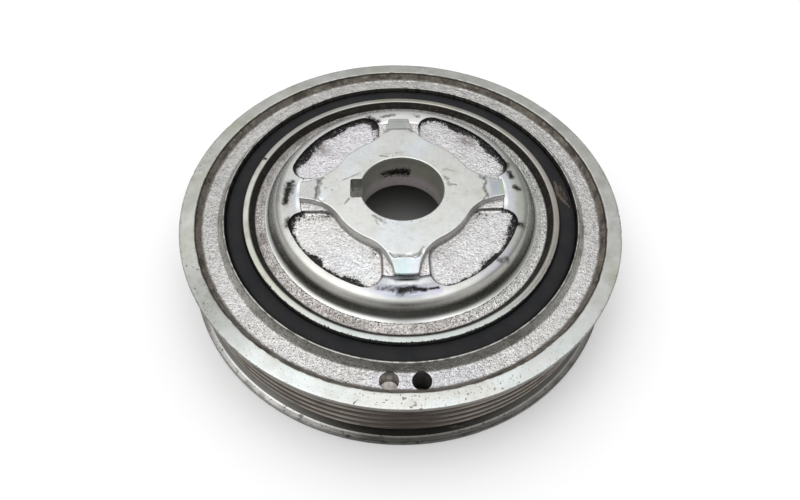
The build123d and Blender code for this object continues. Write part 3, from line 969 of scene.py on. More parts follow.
    # near-black in the grooves' bottoms and over the last groove, most at the front
    oil = 0.0 + 0.06 * wall_ + 0.04 * low + (0.10 + 0.52 * arc_near(th, 272, 30)) * last
    oil = oil + 0.20 * smooth(np.abs(r - 65.5), 0.35, 0.0) * top * (1 - inhole)
    oil = oil + 0.24 * side * smooth(fractal(p * np.array([1, 1, 3.0]), 7.0, 81, 3), 0.25, 0.6)
    for t0, w, z0 in ((255.5, 0.9, 2.0), (259.1, 0.6, 1.7), (264.0, 1.1, 1.5), (268.6, 0.9, 1.4),
                      (271.8, 0.5, 1.5), (282.9, 1.2, 1.6), (284.3, 0.6, 1.3)):
        oil = oil + 0.5 * arc_near(th, t0, w) * rf * smooth(np.abs(p[:, 2] - z0), 0.7, 0.1)
    oil = oil + 0.25 * rf * smooth(fractal(p, 2.0, 84, 2), 0.2, 0.6) * (0.4 + 0.6 * front)
    # pits in the turned face, most of them at the front
    pits = face * (0.25 + 0.75 * arc_near(th, 264, 13) + 0.45 * arc_near(th, 285, 16)
                   + 0.5 * arc_near(th, 164, 9) + 0.5 * arc_near(th, 205, 18)
                   + 0.3 * smooth(r, 70.6, 71.6))
    pits = pits + 0.75 * rf + 0.30 * crest
    put_colour(me, "tint", col)
    put(me, "metal", metal)
    put(me, "rgh", rgh)
    put(me, "cast", cast)
    put(me, "turned", turned)
    put(me, "pits", np.clip(pits, 0, 1))
    put(me, "oil", np.clip(oil, 0, 1.2))


# thickness of the black residue along the pockets' outer walls, mm, by angle
RESIDUE = [(10, .2), (17, .8), (21, 1.1), (25, 1.4), (30, 2.1), (34, 2.2), (38, 1.8), (41, 1.0),
           (44, .8), (48, 1.0), (52, 1.9), (56, 2.3), (60, 1.5), (63, .9), (68, .6), (73, .7),
           (77, .4), (82, .1), (99, .2), (102.5, 1.7), (106, 2.5), (110, 1.5), (116, 1.3),
           (121, 1.6), (126, 2.3), (130, 2.5), (134, 2.0), (138, 1.7), (143, 2.0), (148, 2.4),
           (152, 2.8), (156, 2.1), (160, 1.2), (165, .6), (170, .1), (190, .4), (193.3, 0.9),
           (198, 2.1), (204, 1.0), (208, .6), (214, .5), (218.5, .8), (221, 2.4), (225, 2.2),
           (228, .9), (232, 1.0), (238, 1.1), (242, 2.0), (245, 2.2), (248, 1.4), (251.5, .7),
           (256, .2), (261, 0), (280, 0), (286, .3), (289, .8), (292, .4), (296, .5), (301, .9),
           (306, 1.0), (310, 1.4), (314, 1.9), (317, 1.6), (321, .9), (327, 1.2), (331, 1.4),
           (334, 1.7), (338, 2.0), (341.5, 1.7), (345, .6), (349, .1)]


def finish_hub(ob):
    me = ob.data
    p = points_of(me)
    x, y = fold(p[:, 0], p[:, 1])
    X, Y = p[:, 0], p[:, 1]
    r = np.hypot(x, y)
    h = p[:, 2] - FACE
    n = len(p)
    th = np.degrees(np.arctan2(Y, X)) % 360
    top = h > -3.0
    d, q, f = boss_d(x, y), pocket_p(x, y), facet_f(x, y)
    bore = (r < 13.7) * (h < 6.45) * (h > -7.3)
    key = (r >= 13.7) * (r < 17.2) * (X < -12) * (np.abs(Y) < 4.05) * (h < 6.5) * (h > -7.2)
    bossf = smooth(d, 0.05, -0.1) * smooth(h, 5.9, 6.1) * (r < ARM_END - 0.03)
    facet = bossf * smooth(f, -0.05, 0.25) * smooth(h, 6.55, 6.40)
    pock = smooth(q, 0.1, -0.15) * smooth(d, 0.0, 0.3) * top * (r < 38.6)
    pwall = pock * smooth(h, 2.95, 3.5)
    bwall = smooth(d, 0.0, 0.1) * smooth(d, 1.2, 0.5) * (h > 2.8) * (h < 6.5) * (r < ARM_END) * (q < 0)
    shelf = smooth(d, 0.02, 0.25) * smooth(q, -0.1, 0.2) * (r < ARM_END - 0.05) * top
    endw = (r > 33.04) * (r < 33.27) * (h > 3.78) * (h < 6.30) * (q > 0.05) * 1.0
    dome = smooth(r, ARM_END - 0.1, ARM_END + 0.1) * smooth(q, -0.05, 0.15) * smooth(r, 45.3, 45.1) * top
    crown = dome * smooth(r, 40.9, 40.2)
    fall = dome * smooth(r, 40.3, 41.3)
    ringf = smooth(r, 45.2, 45.5) * smooth(r, 48.6, 48.2) * top
    ringw = smooth(r, 48.2, 48.6) * smooth(r, 50.3, 50.1) * top
    outer = smooth(r, 50.2, 50.4) * (h > -0.8)
    bright = smooth(np.abs(r - 44.75), 0.45, 0.1) * top
    under = (h < -3.1) * (1 - bore) * (1 - key)
    big = fractal(p, 12.0, 51, 3)
    med = fractal(p, 4.0, 55, 3)
    fine = fractal(p, 1.3, 59, 2)
    front = smooth(Y, -8.0, -34.0)
    right = smooth(X, 8.0, 34.0)
    left = smooth(X, -8.0, -34.0)
    back = smooth(Y, 8.0, 34.0)

    col = np.tile(lin(186, 187, 185), (n, 1))
    # boss face: pale, with faint scuffs and two yellowish worn places
    bf = mixc(np.tile(lin(199, 200, 197), (n, 1)), lin(203, 208, 212), smooth(big, 0.0, 0.4) * 0.7)
    bf = mixc(bf, lin(188, 187, 178), smooth(med, 0.1, 0.6) * 0.55)
    bf = mixc(bf, lin(178, 178, 160), blob(p, 16.4, 6.2, 3.2, 3.6, 30) ** 0.5 * smooth(fine, -0.5, 0.2) * 0.75)
    bf = mixc(bf, lin(176, 174, 152), blob(p, 25.0, -2.6, 2.6, 2.0) ** 0.5 * 0.8)
    bf = mixc(bf, lin(172, 170, 158), blob(p, -8.0, -12.6, 3.0, 1.2, 40) ** 0.5 * 0.6)
    bf = mixc(bf, lin(176, 175, 170), blob(p, -22.5, 1.0, 3.4, 4.6) ** 0.5 * smooth(fine, -0.2, 0.4) * 0.5)
    bf = mixc(bf, lin(192, 194, 193), front * 0.9)
    bf = mixc(bf, lin(191, 192, 188), right * 0.8)
    bf = mixc(bf, lin(166, 166, 160), smooth(np.abs(fractal(p, 6.0, 63, 4)), 0.09, 0.0) * smooth(fine, -0.1, 0.4) * 0.45)
    col = mixc(col, bf, bossf)
    # lowered tips: lighter and bluer at the front as painted highlight, darker at the right and back as painted shade
    fc = np.tile(lin(185, 186, 185), (n, 1))
    fc = mixc(fc, lin(190, 205, 207), arc_near(th, 270, 15) * 1.0)
    fc = mixc(fc, lin(206, 208, 216), arc_near(th, 270, 15) * smooth(X, -0.5, 3.0))
    fc = mixc(fc, lin(166, 170, 178), arc_near(th, 0, 15))
    fc = mixc(fc, lin(164, 176, 162), arc_near(th, 0, 15) * smooth(r, 31.2, 32.2))
    fc = mixc(fc, lin(196, 197, 197), arc_near(th, 0, 15) * smooth(r, 29.2, 28.2))
    fc = mixc(fc, lin(164, 166, 163), arc_near(th, 90, 15))
    col = mixc(col, fc, facet)
    # pockets
    pc = np.tile(lin(213, 211, 209), (n, 1))
    pc = mixc(pc, lin(212, 210, 214), smooth(X, 4, -8) * smooth(Y, 4, 10) * 0.9)
    pc = mixc(pc, lin(210, 213, 216), smooth(X, 4, -8) * front * smooth(q, -1.0, -5.0) * 0.8)
    pc = mixc(pc, lin(205, 204, 205), smooth(X, -4, 8) * 0.7)
    pc = mixc(pc, lin(194, 192, 193), smooth(med, 0.1, 0.6) * 0.6)
    col = mixc(col, pc, pock)
    col = mixc(col, lin(196, 194, 190), bwall)
    col = mixc(col, lin(92, 86, 82), pwall * (1 - bwall))
    col = mixc(col, lin(224, 222, 221), shelf)
    # darker lines along the feet of the shelves, painted shade, and along the pockets' straight sides
    foot = smooth(np.abs(d - 0.55), 0.45, 0.05) * (q > -0.1) * (r < ARM_END) * (r > 24)
    col = mixc(col, lin(140, 138, 133), foot * shelf * 0.5)
    edge_q = smooth(np.abs(q - 0.12), 0.36, 0.05) * (r < ARM_END + 0.2) * (d > 0.2)
    col = mixc(col, lin(112, 108, 106), edge_q * top * (0.5 + 0.35 * front) * smooth(fine, -0.7, 0.2))
    # turned ring: crown, outer fall, line at its foot; the bands lighter, darker or bluer by side are painted highlight
    # and painted shade
    dc = np.tile(lin(186, 187, 185), (n, 1))
    dc = mixc(dc, lin(176, 175, 170), smooth(med, 0.0, 0.5) * 0.7)
    dc = mixc(dc, lin(162, 165, 158), right * smooth(r, 35.4, 38.2) * 0.9)
    dc = mixc(dc, lin(178, 182, 188), right * smooth(r, 37.4, 35.2) * 0.9)
    dc = mixc(dc, lin(162, 167, 178), arc_near(th, 268, 26) * smooth(r, 41.0, 39.0) * 0.95)
    dc = mixc(dc, lin(182, 186, 193), arc_near(th, 180, 20) * smooth(r, 37.4, 34.6) * 0.8)
    dc = mixc(dc, lin(192, 191, 184), arc_near(th, 225, 22) * smooth(r, 37.6, 39.6) * 0.7)
    dc = mixc(dc, lin(208, 208, 206), back * smooth(r, 40.6, 39.4) * 0.85)
    dc = mixc(dc, dc * 0.66, arc_near(th, 268.5, 17) * smooth(r, 38.8, 39.5) * smooth(r, 41.4, 40.8))
    dc = mixc(dc, dc * 0.68, arc_near(th, 180, 24) * smooth(r, 39.0, 39.8) * smooth(r, 41.2, 40.6))
    # heat-like violet and blue films on the front
    dc = mixc(dc, lin(160, 150, 178), (stroke(p, [(-7.5, -36.8, 2.2), (8.5, -37.6, 2.2)]) ** 0.6)
              * smooth(med, -0.4, 0.3) * 0.75)
    dc = mixc(dc, lin(166, 162, 176), smooth(stroke(p, [(24.0, -31.5, 3.6), (31.5, -24.5, 3.6)]), 0.0, 0.8) * 0.5)
    dc = mixc(dc, lin(150, 144, 142), (stroke(p, [(-38.0, 11.0, 2.0), (-36.5, -14.0, 2.0)]) ** 0.6)
              * smooth(med, -0.1, 0.4) * 0.5)
    dc = mixc(dc, lin(146, 145, 138), fall * (0.35 + 0.45 * smooth(Y, 0, -30)) * smooth(r, 44.2, 43.2))
    dc = mixc(dc, lin(150, 148, 137), fall * arc_near(th, 235, 25) * 0.3)
    dc = mixc(dc, lin(168, 169, 164), fall * right * 0.6)
    # duller band below the crown, at the front left and front right
    dull = np.interp(th, [0, 25, 45, 150, 170, 195, 215, 240, 258, 268, 280, 297, 322, 342, 360],
                     [0.6, 0.4, 0, 0, 0.6, 0.7, 0.7, 1.0, 0.7, 0.2, 0.6, 1.0, 0.9, 0.6, 0.6])
    dull = dull * smooth(r, 40.8, 41.3) * smooth(r, 42.75, 41.9) * top
    dc = mixc(dc, lin(202, 200, 194), dull)
    # darker at the front near the foot: painted shade
    low_f = arc_near(th, 269, 18) * smooth(r, 43.3, 44.0)
    dc = mixc(dc, dc * 0.60, low_f)
    col = mixc(col, dc, dome)
    # the arm ends' walls: dark, as painted shade
    col = mixc(col, lin(58, 57, 56), endw)
    # a white, nearly non-metal strip at the ring's inner edge beside the arm ends: painted highlight
    inner = smooth(r, 33.22, 33.34) * smooth(r, 34.9, 33.9) * smooth(f, -3.0, -1.0) * (h > 3.2) * (h < 4.2)
    fr = arc_near(th, 270, 17) * top
    inner = inner * smooth(np.abs(d), 5.0, 0.2) * (1 - fr)
    # at the front arm: a dark line at the ring's inner edge as painted shade, and a white band beyond it as painted
    # highlight
    front_foot_shade = smooth(r, 33.2, 33.3) * smooth(r, 34.3, 33.8) * smooth(np.maximum(d, 0), 1.8, 0.3) * fr
    col = mixc(col, lin(74, 72, 70), front_foot_shade * 0.85)
    front_crest_highlight = smooth(r, 33.9, 34.4) * smooth(r, 36.3, 35.0) * fr
    col = mixc(col, lin(255, 255, 255), front_crest_highlight * 0.9)
    col = mixc(col, lin(255, 255, 255), inner)
    # cast ring: grainy, pinkish to the left and front
    rf = mixc(np.tile(lin(200, 196, 193), (n, 1)), lin(214, 208, 205), smooth(med, 0.0, 0.5))
    rf = mixc(rf, lin(164, 158, 152), smooth(-med, 0.05, 0.5) * (0.5 + 0.4 * left))
    rf = mixc(rf, lin(200, 202, 198), right * 0.6)
    rf = mixc(rf, lin(236, 236, 232), right * smooth(r, 45.9, 46.9) * 0.85)
    rf = mixc(rf, rf * 0.97, arc_near(th, 182, 30))
    col = mixc(col, rf, ringf)
    # the sloping wall between the cast ring and the outer ring: near-black, painted shade
    col = mixc(col, lin(36, 33, 30), ringw)
    col = mixc(col, lin(62, 57, 52), ringw * smooth(fine, 0.1, 0.6) * 0.6)
    oc = mixc(np.tile(lin(184, 184, 178), (n, 1)), lin(168, 165, 152), smooth(big, -0.1, 0.5) * back)
    oc = mixc(oc, lin(168, 174, 172), front * 0.8)
    oc = mixc(oc, oc * 0.66, back * 0.9)
    oc = mixc(oc, lin(176, 176, 163), arc_near(th, 212, 38) * 0.8)
    oc = mixc(oc, lin(134, 128, 120), arc_near(th, 352, 66) * 0.85)
    oc = mixc(oc, lin(104, 100, 92), arc_near(th, 325, 30) * smooth(np.abs(r - 51.3), 0.5, 0.1) * 0.8)
    oc = mixc(oc, lin(150, 144, 134), smooth(med, 0.15, 0.6) * 0.6)
    col = mixc(col, oc, outer)
    # a lighter line in the fillet at the ring's foot, weaker to the right and left and at the front: painted highlight
    col = mixc(col, lin(206, 206, 203), bright * (0.75 - 0.5 * right - 0.5 * left * (1 - front)) * (1 - 0.9 * arc_near(th, 269, 18)))
    # bore: dark upper part, pinkish lower part
    col = mixc(col, lin(192, 192, 180), bore * 1.0)
    col = mixc(col, lin(226, 216, 216), bore * smooth(h + 0.5 * med, -1.0, -2.4))
    col = mixc(col, lin(160, 160, 150), bore * smooth(h, 4.6, 5.6))
    col = mixc(col, lin(138, 142, 132), key * 1.0)
    # a near-white patch low in the keyway: painted light, for light coming up through the bore
    col = mixc(col, lin(245, 245, 240), key * smooth(h, 2.6, 0.6) * smooth(fine, -0.45, 0.05))
    # underside: dark, darker in patches, as painted shade that keeps the hollow seen through the bore dark
    col = mixc(col, lin(64, 60, 56), under * 1.0)
    col = mixc(col, lin(48, 43, 38), under * smooth(med, -0.1, 0.5) * 0.7)
    col = mixc(col, lin(150, 148, 142), under * (r < 21.6) * (h < -7.0))
    col = mixc(col, lin(150, 148, 142), under * (r > 46.9) * (h < -24.4))

    metal = np.ones(n) * (1 - 0.6 * ringw) * (1 - 0.5 * pwall * (1 - bwall)) * (1 - 0.5 * under)
    metal = metal * (1 - 0.4 * bore) * (1 - 0.5 * key) * (1 - 0.96 * inner) * (1 - 0.85 * front_crest_highlight) * (1 - 0.72 * dull)
    rgh = np.full(n, 0.31) + 0.02 * pock + 0.04 * shelf + 0.08 * ringf + 0.25 * ringw + 0.18 * under
    rgh = rgh - 0.06 * facet - 0.05 * dome + 0.08 * bwall
    cast = np.clip(pock + shelf * 1.3 + ringf * 2.0 + ringw * 0.6 + under * (r > 22), 0, 2.0)
    turned = np.clip(0.50 * crown + 0.10 * fall + 0.16 * bossf + 0.8 * outer + 0.5 * bore, 0, 1) * np.clip(1 - cast, 0, 1)

    # black residue: pockets' outer walls, smears on the turned ring, bore, steps
    oil = np.zeros(n)
    t = around(th, RESIDUE) * (1 + 0.25 * front)
    t = np.maximum(t, 0.55 * np.maximum(arc_near(th, 222, 30), arc_near(th, 318, 30)))
    wob = 0.30 * vnoise(p, 1.6, 61) + 0.18 * vnoise(p, 0.8, 62)
    band = smooth(t + (q + wob * np.clip(t, 0, 1.2)), -1.2, 0.8) * smooth(r, 31.0, 33.2) * (q < 0.12)
    oil = np.maximum(oil, 0.95 * band * top * (d > 0.1) * (t > 0.12))
    # it thins out into specks further in
    haze = smooth(t + 2.2 + q, -0.2, 2.2) * smooth(t, 0.7, 1.8) * pock
    oil = np.maximum(oil, 0.40 * haze)
    oil = np.maximum(oil, 0.40 * blob(p, 31.5, -18.8, 2.9, 2.6) ** 0.5 * pock)
    # over the machined ring at the left rear
    oil = np.maximum(oil, 0.9 * smooth(stroke(p, [(-53, 24.2, 0.8), (-49.8, 22.0, 1.0), (-46.8, 20.6, 0.8)]), 0, 0.6)
                     * (outer + ringw) * top)
    # bore smear; near-black over the sloping wall between the rings, most at its foot; a dark line at the cast ring's
    # inner edge; the outer ring's outer edge darker at the front; some black on the arm ends' walls
    hs = np.interp(th, [66, 74, 80, 86, 96, 108, 121, 131, 137], [1.4, 0.9, 0.1, -0.3, -0.2, -0.6, -0.9, -1.5, -2.0])
    ws = np.interp(th, [66, 74, 80, 86, 96, 108, 121, 131, 137], [0.3, 0.9, 1.6, 1.7, 1.0, 1.1, 1.2, 0.9, 0.4])
    oil = np.maximum(oil, 1.1 * bore * smooth(np.abs(h - hs), ws + 0.25, ws * 0.3) * (th > 66) * (th < 137))
    oil = np.maximum(oil, 0.25 * ringw + 0.3 * ringw * smooth(np.abs(r - 48.7), 0.3, 0.0))
    oil = np.maximum(oil, (0.30 + 0.30 * front) * smooth(np.abs(r - 45.32), 0.20, 0.04) * top)
    oil = np.maximum(oil, 0.46 * smooth(r, 51.45, 52.1) * outer * front)
    oil = np.maximum(oil, 0.45 * endw * (0.6 + 0.4 * smooth(Y, 10, -20)))
    # brown crust fading over the rear pockets' floors
    crust = np.maximum(blob(p, -27.6, 22.0, 4.6, 3.4, 140), blob(p, 23.6, 25.4, 4.4, 2.8, 135))
    col = mixc(col, lin(104, 90, 84), crust ** 0.6 * pock * smooth(fine, -0.6, 0.3) * 0.75)

    pits = 0.22 * bossf * (1 - facet) + 0.75 * blob(p, -23.0, 1.2, 3.0, 4.4) ** 0.5 * bossf
    pits = pits + 0.12 * outer + 0.35 * facet * arc_near(th, 180, 20)
    pits = pits + 0.5 * smooth(np.abs(r - 14.6), 1.3, 0.2) * bossf
    pits = pits + 0.55 * key
    put_colour(me, "tint", col)
    put(me, "metal", metal)
    put(me, "rgh", rgh)
    put(me, "cast", cast)
    put(me, "turned", turned)
    put(me, "pits", np.clip(pits, 0, 1))
    put(me, "oil", np.clip(oil, 0, 1.2))


def finish_rubber(ob):
    me = ob.data
    p = points_of(me)
    r = np.hypot(p[:, 0], p[:, 1])
    th = np.degrees(np.arctan2(p[:, 1], p[:, 0])) % 360
    brown = 0.9 * smooth(stroke(p, [(53.4, 8.8, 0.5), (53.3, 3.4, 0.9), (54.8, 0.2, 0.8), (56.1, -2.4, 0.4)]), 0, 0.7)
    brown = np.maximum(brown, 0.7 * smooth(stroke(p, [(54.6, 6.6, 0.4), (56.0, 0.8, 0.5)]), 0, 0.7))
    brown = np.maximum(brown, 0.45 * arc_near(th, 5, 16) * smooth(np.abs(r - 55.0), 2.6, 1.0))
    put(me, "brown", brown)
    # near-black at both edges, beside the rim and the hub ring, less to the right: painted shade in the gaps
    gap = np.maximum(smooth(r, 56.9, 57.7), smooth(r, 53.0, 52.4))
    put(me, "gap", np.clip(gap * (0.78 - 0.45 * arc_near(th, 0, 60)), 0, 1))


finish_rim(rim)
finish_hub(hub)
finish_rubber(rubber)


# ---------------------------------------------------------------------------
# node materials
# ---------------------------------------------------------------------------
class Nodes:
    def __init__(self, name):
        self.mat = bpy.data.materials.new(name)
        self.mat.use_nodes = True
        self.t = self.mat.node_tree
        self.t.nodes.clear()
        self.out = self.t.nodes.new("ShaderNodeOutputMaterial")
        self.bsdf = self.t.nodes.new("ShaderNodeBsdfPrincipled")
        self.t.links.new(self.bsdf.outputs[0], self.out.inputs[0])
        co = self.t.nodes.new("ShaderNodeTexCoord")
        sc = self.t.nodes.new("ShaderNodeVectorMath")
        sc.operation = "SCALE"
        sc.inputs["Scale"].default_value = 1000.0
        self.t.links.new(co.outputs["Object"], sc.inputs[0])
        self.mm = sc.outputs[0]
        sep = self.t.nodes.new("ShaderNodeSeparateXYZ")
        self.t.links.new(self.mm, sep.inputs[0])
        self.x, self.y, self.z = sep.outputs
        self.r = self.m("SQRT", self.m("ADD", self.m("MULTIPLY", self.x, self.x),
                                       self.m("MULTIPLY", self.y, self.y)))
        self.th = self.m("ARCTAN2", self.y, self.x)

    def link(self, src, sock):
        if hasattr(src, "links"):
            self.t.links.new(src, sock)
        else:
            sock.default_value = src

    def m(self, op, a, b=None, c=None, clamp=False):
        n = self.t.nodes.new("ShaderNodeMath")
        n.operation = op
        n.use_clamp = clamp
        for i, v in enumerate((a, b, c)):
            if v is not None:
                self.link(v, n.inputs[i])
        return n.outputs[0]

    def vec(self, x, y, z):
        n = self.t.nodes.new("ShaderNodeCombineXYZ")
        for i, v in enumerate((x, y, z)):
            self.link(v, n.inputs[i])
        return n.outputs[0]

    def noise(self, scale, detail=2.0, rough=0.5, vec=None, distort=0.0):
        n = self.t.nodes.new("ShaderNodeTexNoise")
        self.link(vec if vec is not None else self.mm, n.inputs["Vector"])
        n.inputs["Scale"].default_value = scale
        n.inputs["Detail"].default_value = detail
        n.inputs["Roughness"].default_value = rough
        n.inputs["Distortion"].default_value = distort
        return n.outputs["Fac"]

    def cells(self, scale, feature="F1", vec=None, rand=1.0, smooth_=0.0):
        n = self.t.nodes.new("ShaderNodeTexVoronoi")
        n.feature = feature
        self.link(vec if vec is not None else self.mm, n.inputs["Vector"])
        n.inputs["Scale"].default_value = scale
        n.inputs["Randomness"].default_value = rand
        if feature == "SMOOTH_F1":
            n.inputs["Smoothness"].default_value = smooth_
        return n.outputs["Distance"]

    def lines(self, segs):
        """strongest of a set of soft strokes (x0, y0, x1, y1, half width, strength), mm"""
        best = None
        for x0, y0, x1, y1, w, k in segs:
            dx, dy = x1 - x0, y1 - y0
            l2 = dx * dx + dy * dy
            px, py = self.m("SUBTRACT", self.x, x0), self.m("SUBTRACT", self.y, y0)
            t = self.m("ADD", self.m("MULTIPLY", px, dx / l2), self.m("MULTIPLY", py, dy / l2), clamp=True)
            ex = self.m("SUBTRACT", px, self.m("MULTIPLY", t, dx))
            ey = self.m("SUBTRACT", py, self.m("MULTIPLY", t, dy))
            dd = self.m("SQRT", self.m("ADD", self.m("MULTIPLY", ex, ex), self.m("MULTIPLY", ey, ey)))
            v = self.map(dd, w, 0.1 * w, 0.0, k)
            best = v if best is None else self.m("MAXIMUM", best, v)
        return best

    def attr(self, name, colour=False):
        n = self.t.nodes.new("ShaderNodeAttribute")
        n.attribute_name = name
        return n.outputs["Color" if colour else "Fac"]

    def map(self, v, a, b, lo=0.0, hi=1.0, smooth_=True):
        n = self.t.nodes.new("ShaderNodeMapRange")
        n.interpolation_type = "SMOOTHSTEP" if smooth_ else "LINEAR"
        self.link(v, n.inputs["Value"])
        n.inputs["From Min"].default_value = a
        n.inputs["From Max"].default_value = b
        n.inputs["To Min"].default_value = lo
        n.inputs["To Max"].default_value = hi
        return n.outputs["Result"]

    def mix(self, fac, a, b, blend="MIX"):
        n = self.t.nodes.new("ShaderNodeMix")
        n.data_type = "RGBA"
        n.blend_type = blend
        self.link(fac, n.inputs[0])
        for sock, v in ((n.inputs[6], a), (n.inputs[7], b)):
            if hasattr(v, "links"):
                self.t.links.new(v, sock)
            else:
                sock.default_value = (*[float(c) for c in v], 1.0)
        return n.outputs[2]

    def bump(self, height, strength, dist_mm, normal=None):
        n = self.t.nodes.new("ShaderNodeBump")
        self.link(height, n.inputs["Height"])
        self.link(strength, n.inputs["Strength"])
        n.inputs["Distance"].default_value = dist_mm * MM
        if normal is not None:
            self.t.links.new(normal, n.inputs["Normal"])
        return n.outputs[0]


SMEAR = [
    (-8.6, -36.4, -4.6, -37.0, 1.2, 0.55), (-4.6, -37.0, -1.8, -37.5, 1.6, 0.68),
    (-2.2, -37.8, -0.2, -37.2, 2.0, 1.0), (-0.2, -37.2, 2.0, -36.9, 1.7, 1.0),
    (2.0, -37.1, 5.2, -37.4, 1.0, 1.0), (5.2, -37.4, 9.0, -36.8, 0.6, 0.95),
    (-35.9, 5.8, -36.9, 4.4, 1.0, 0.9), (-36.7, 4.4, -37.1, 1.4, 2.1, 1.0),
    (-37.2, 1.4, -37.8, -3.4, 1.3, 0.95), (-36.3, -10.2, -36.0, -12.8, 1.4, 0.85),
    (36.3, 8.6, 36.9, 6.6, 1.4, 1.0), (37.6, 2.0, 38.4, 1.0, 1.3, 1.0),
    (35.0, 9.6, 36.2, 12.2, 1.7, 0.72), (36.5, -13.9, 37.3, -14.1, 1.7, 0.85),
    (28.4, -27.4, 30.6, -26.9, 1.3, 0.6), (-10.4, 36.4, -7.4, 34.6, 1.6, 0.85),
    (-6.2, 36.6, -1.4, 37.9, 1.0, 0.6), (6.2, 37.6, 7.4, 36.8, 1.0, 0.62),
]
SCUFF = [
    (-6.8, 14.4, -4.4, 14.0, 0.5, 1.0), (-5.6, 15.2, 0.5, 15.8, 0.7, 0.5),
    (-9.6, -11.5, -7.2, -13.2, 0.6, 1.0), (-8.2, -12.6, -5.9, -14.8, 0.9, 0.7),
    (-8.8, -13.6, -8.0, -15.4, 0.5, 0.7), (13.8, 5.0, 15.2, 3.6, 0.8, 0.7),
    (14.6, 3.8, 15.4, 1.0, 0.8, 0.75), (15.6, 1.4, 17.6, 0.8, 0.5, 0.8),
    (14.0, 7.8, 17.2, 7.0, 0.8, 0.6), (-18.6, -6.6, -17.2, -4.6, 0.5, 0.8),
    (-19.5, 3.4, -13.6, 6.6, 0.4, 0.7),
    (-4.8, -26.0, -3.5, -27.1, 0.7, 0.9), (-3.5, -27.1, -1.0, -26.9, 0.7, 1.0),
    (-1.0, -26.9, 1.6, -27.3, 0.7, 0.9), (1.6, -27.3, 3.6, -26.6, 0.7, 1.0),
    (3.6, -26.6, 5.3, -24.0, 0.5, 0.9),
    (-27.5, -3.6, -26.9, -1.6, 1.1, 1.0), (-26.9, -1.6, -27.5, 0.4, 1.0, 1.0),
    (-27.5, 0.4, -26.5, 2.0, 1.1, 1.0), (-26.5, 2.0, -27.3, 3.6, 1.0, 1.0),
    (27.4, 4.2, 26.6, 3.0, 0.6, 0.9), (26.6, 3.0, 27.5, 1.6, 0.6, 0.8),
    (27.5, 1.6, 26.3, -0.8, 0.5, 0.7), (26.3, -0.8, 27.4, -4.2, 0.6, 0.9),
    (-3.6, 27.6, 3.6, 27.6, 0.45, 0.9), (-3.8, 31.5, 3.8, 31.5, 0.4, 0.5),
]


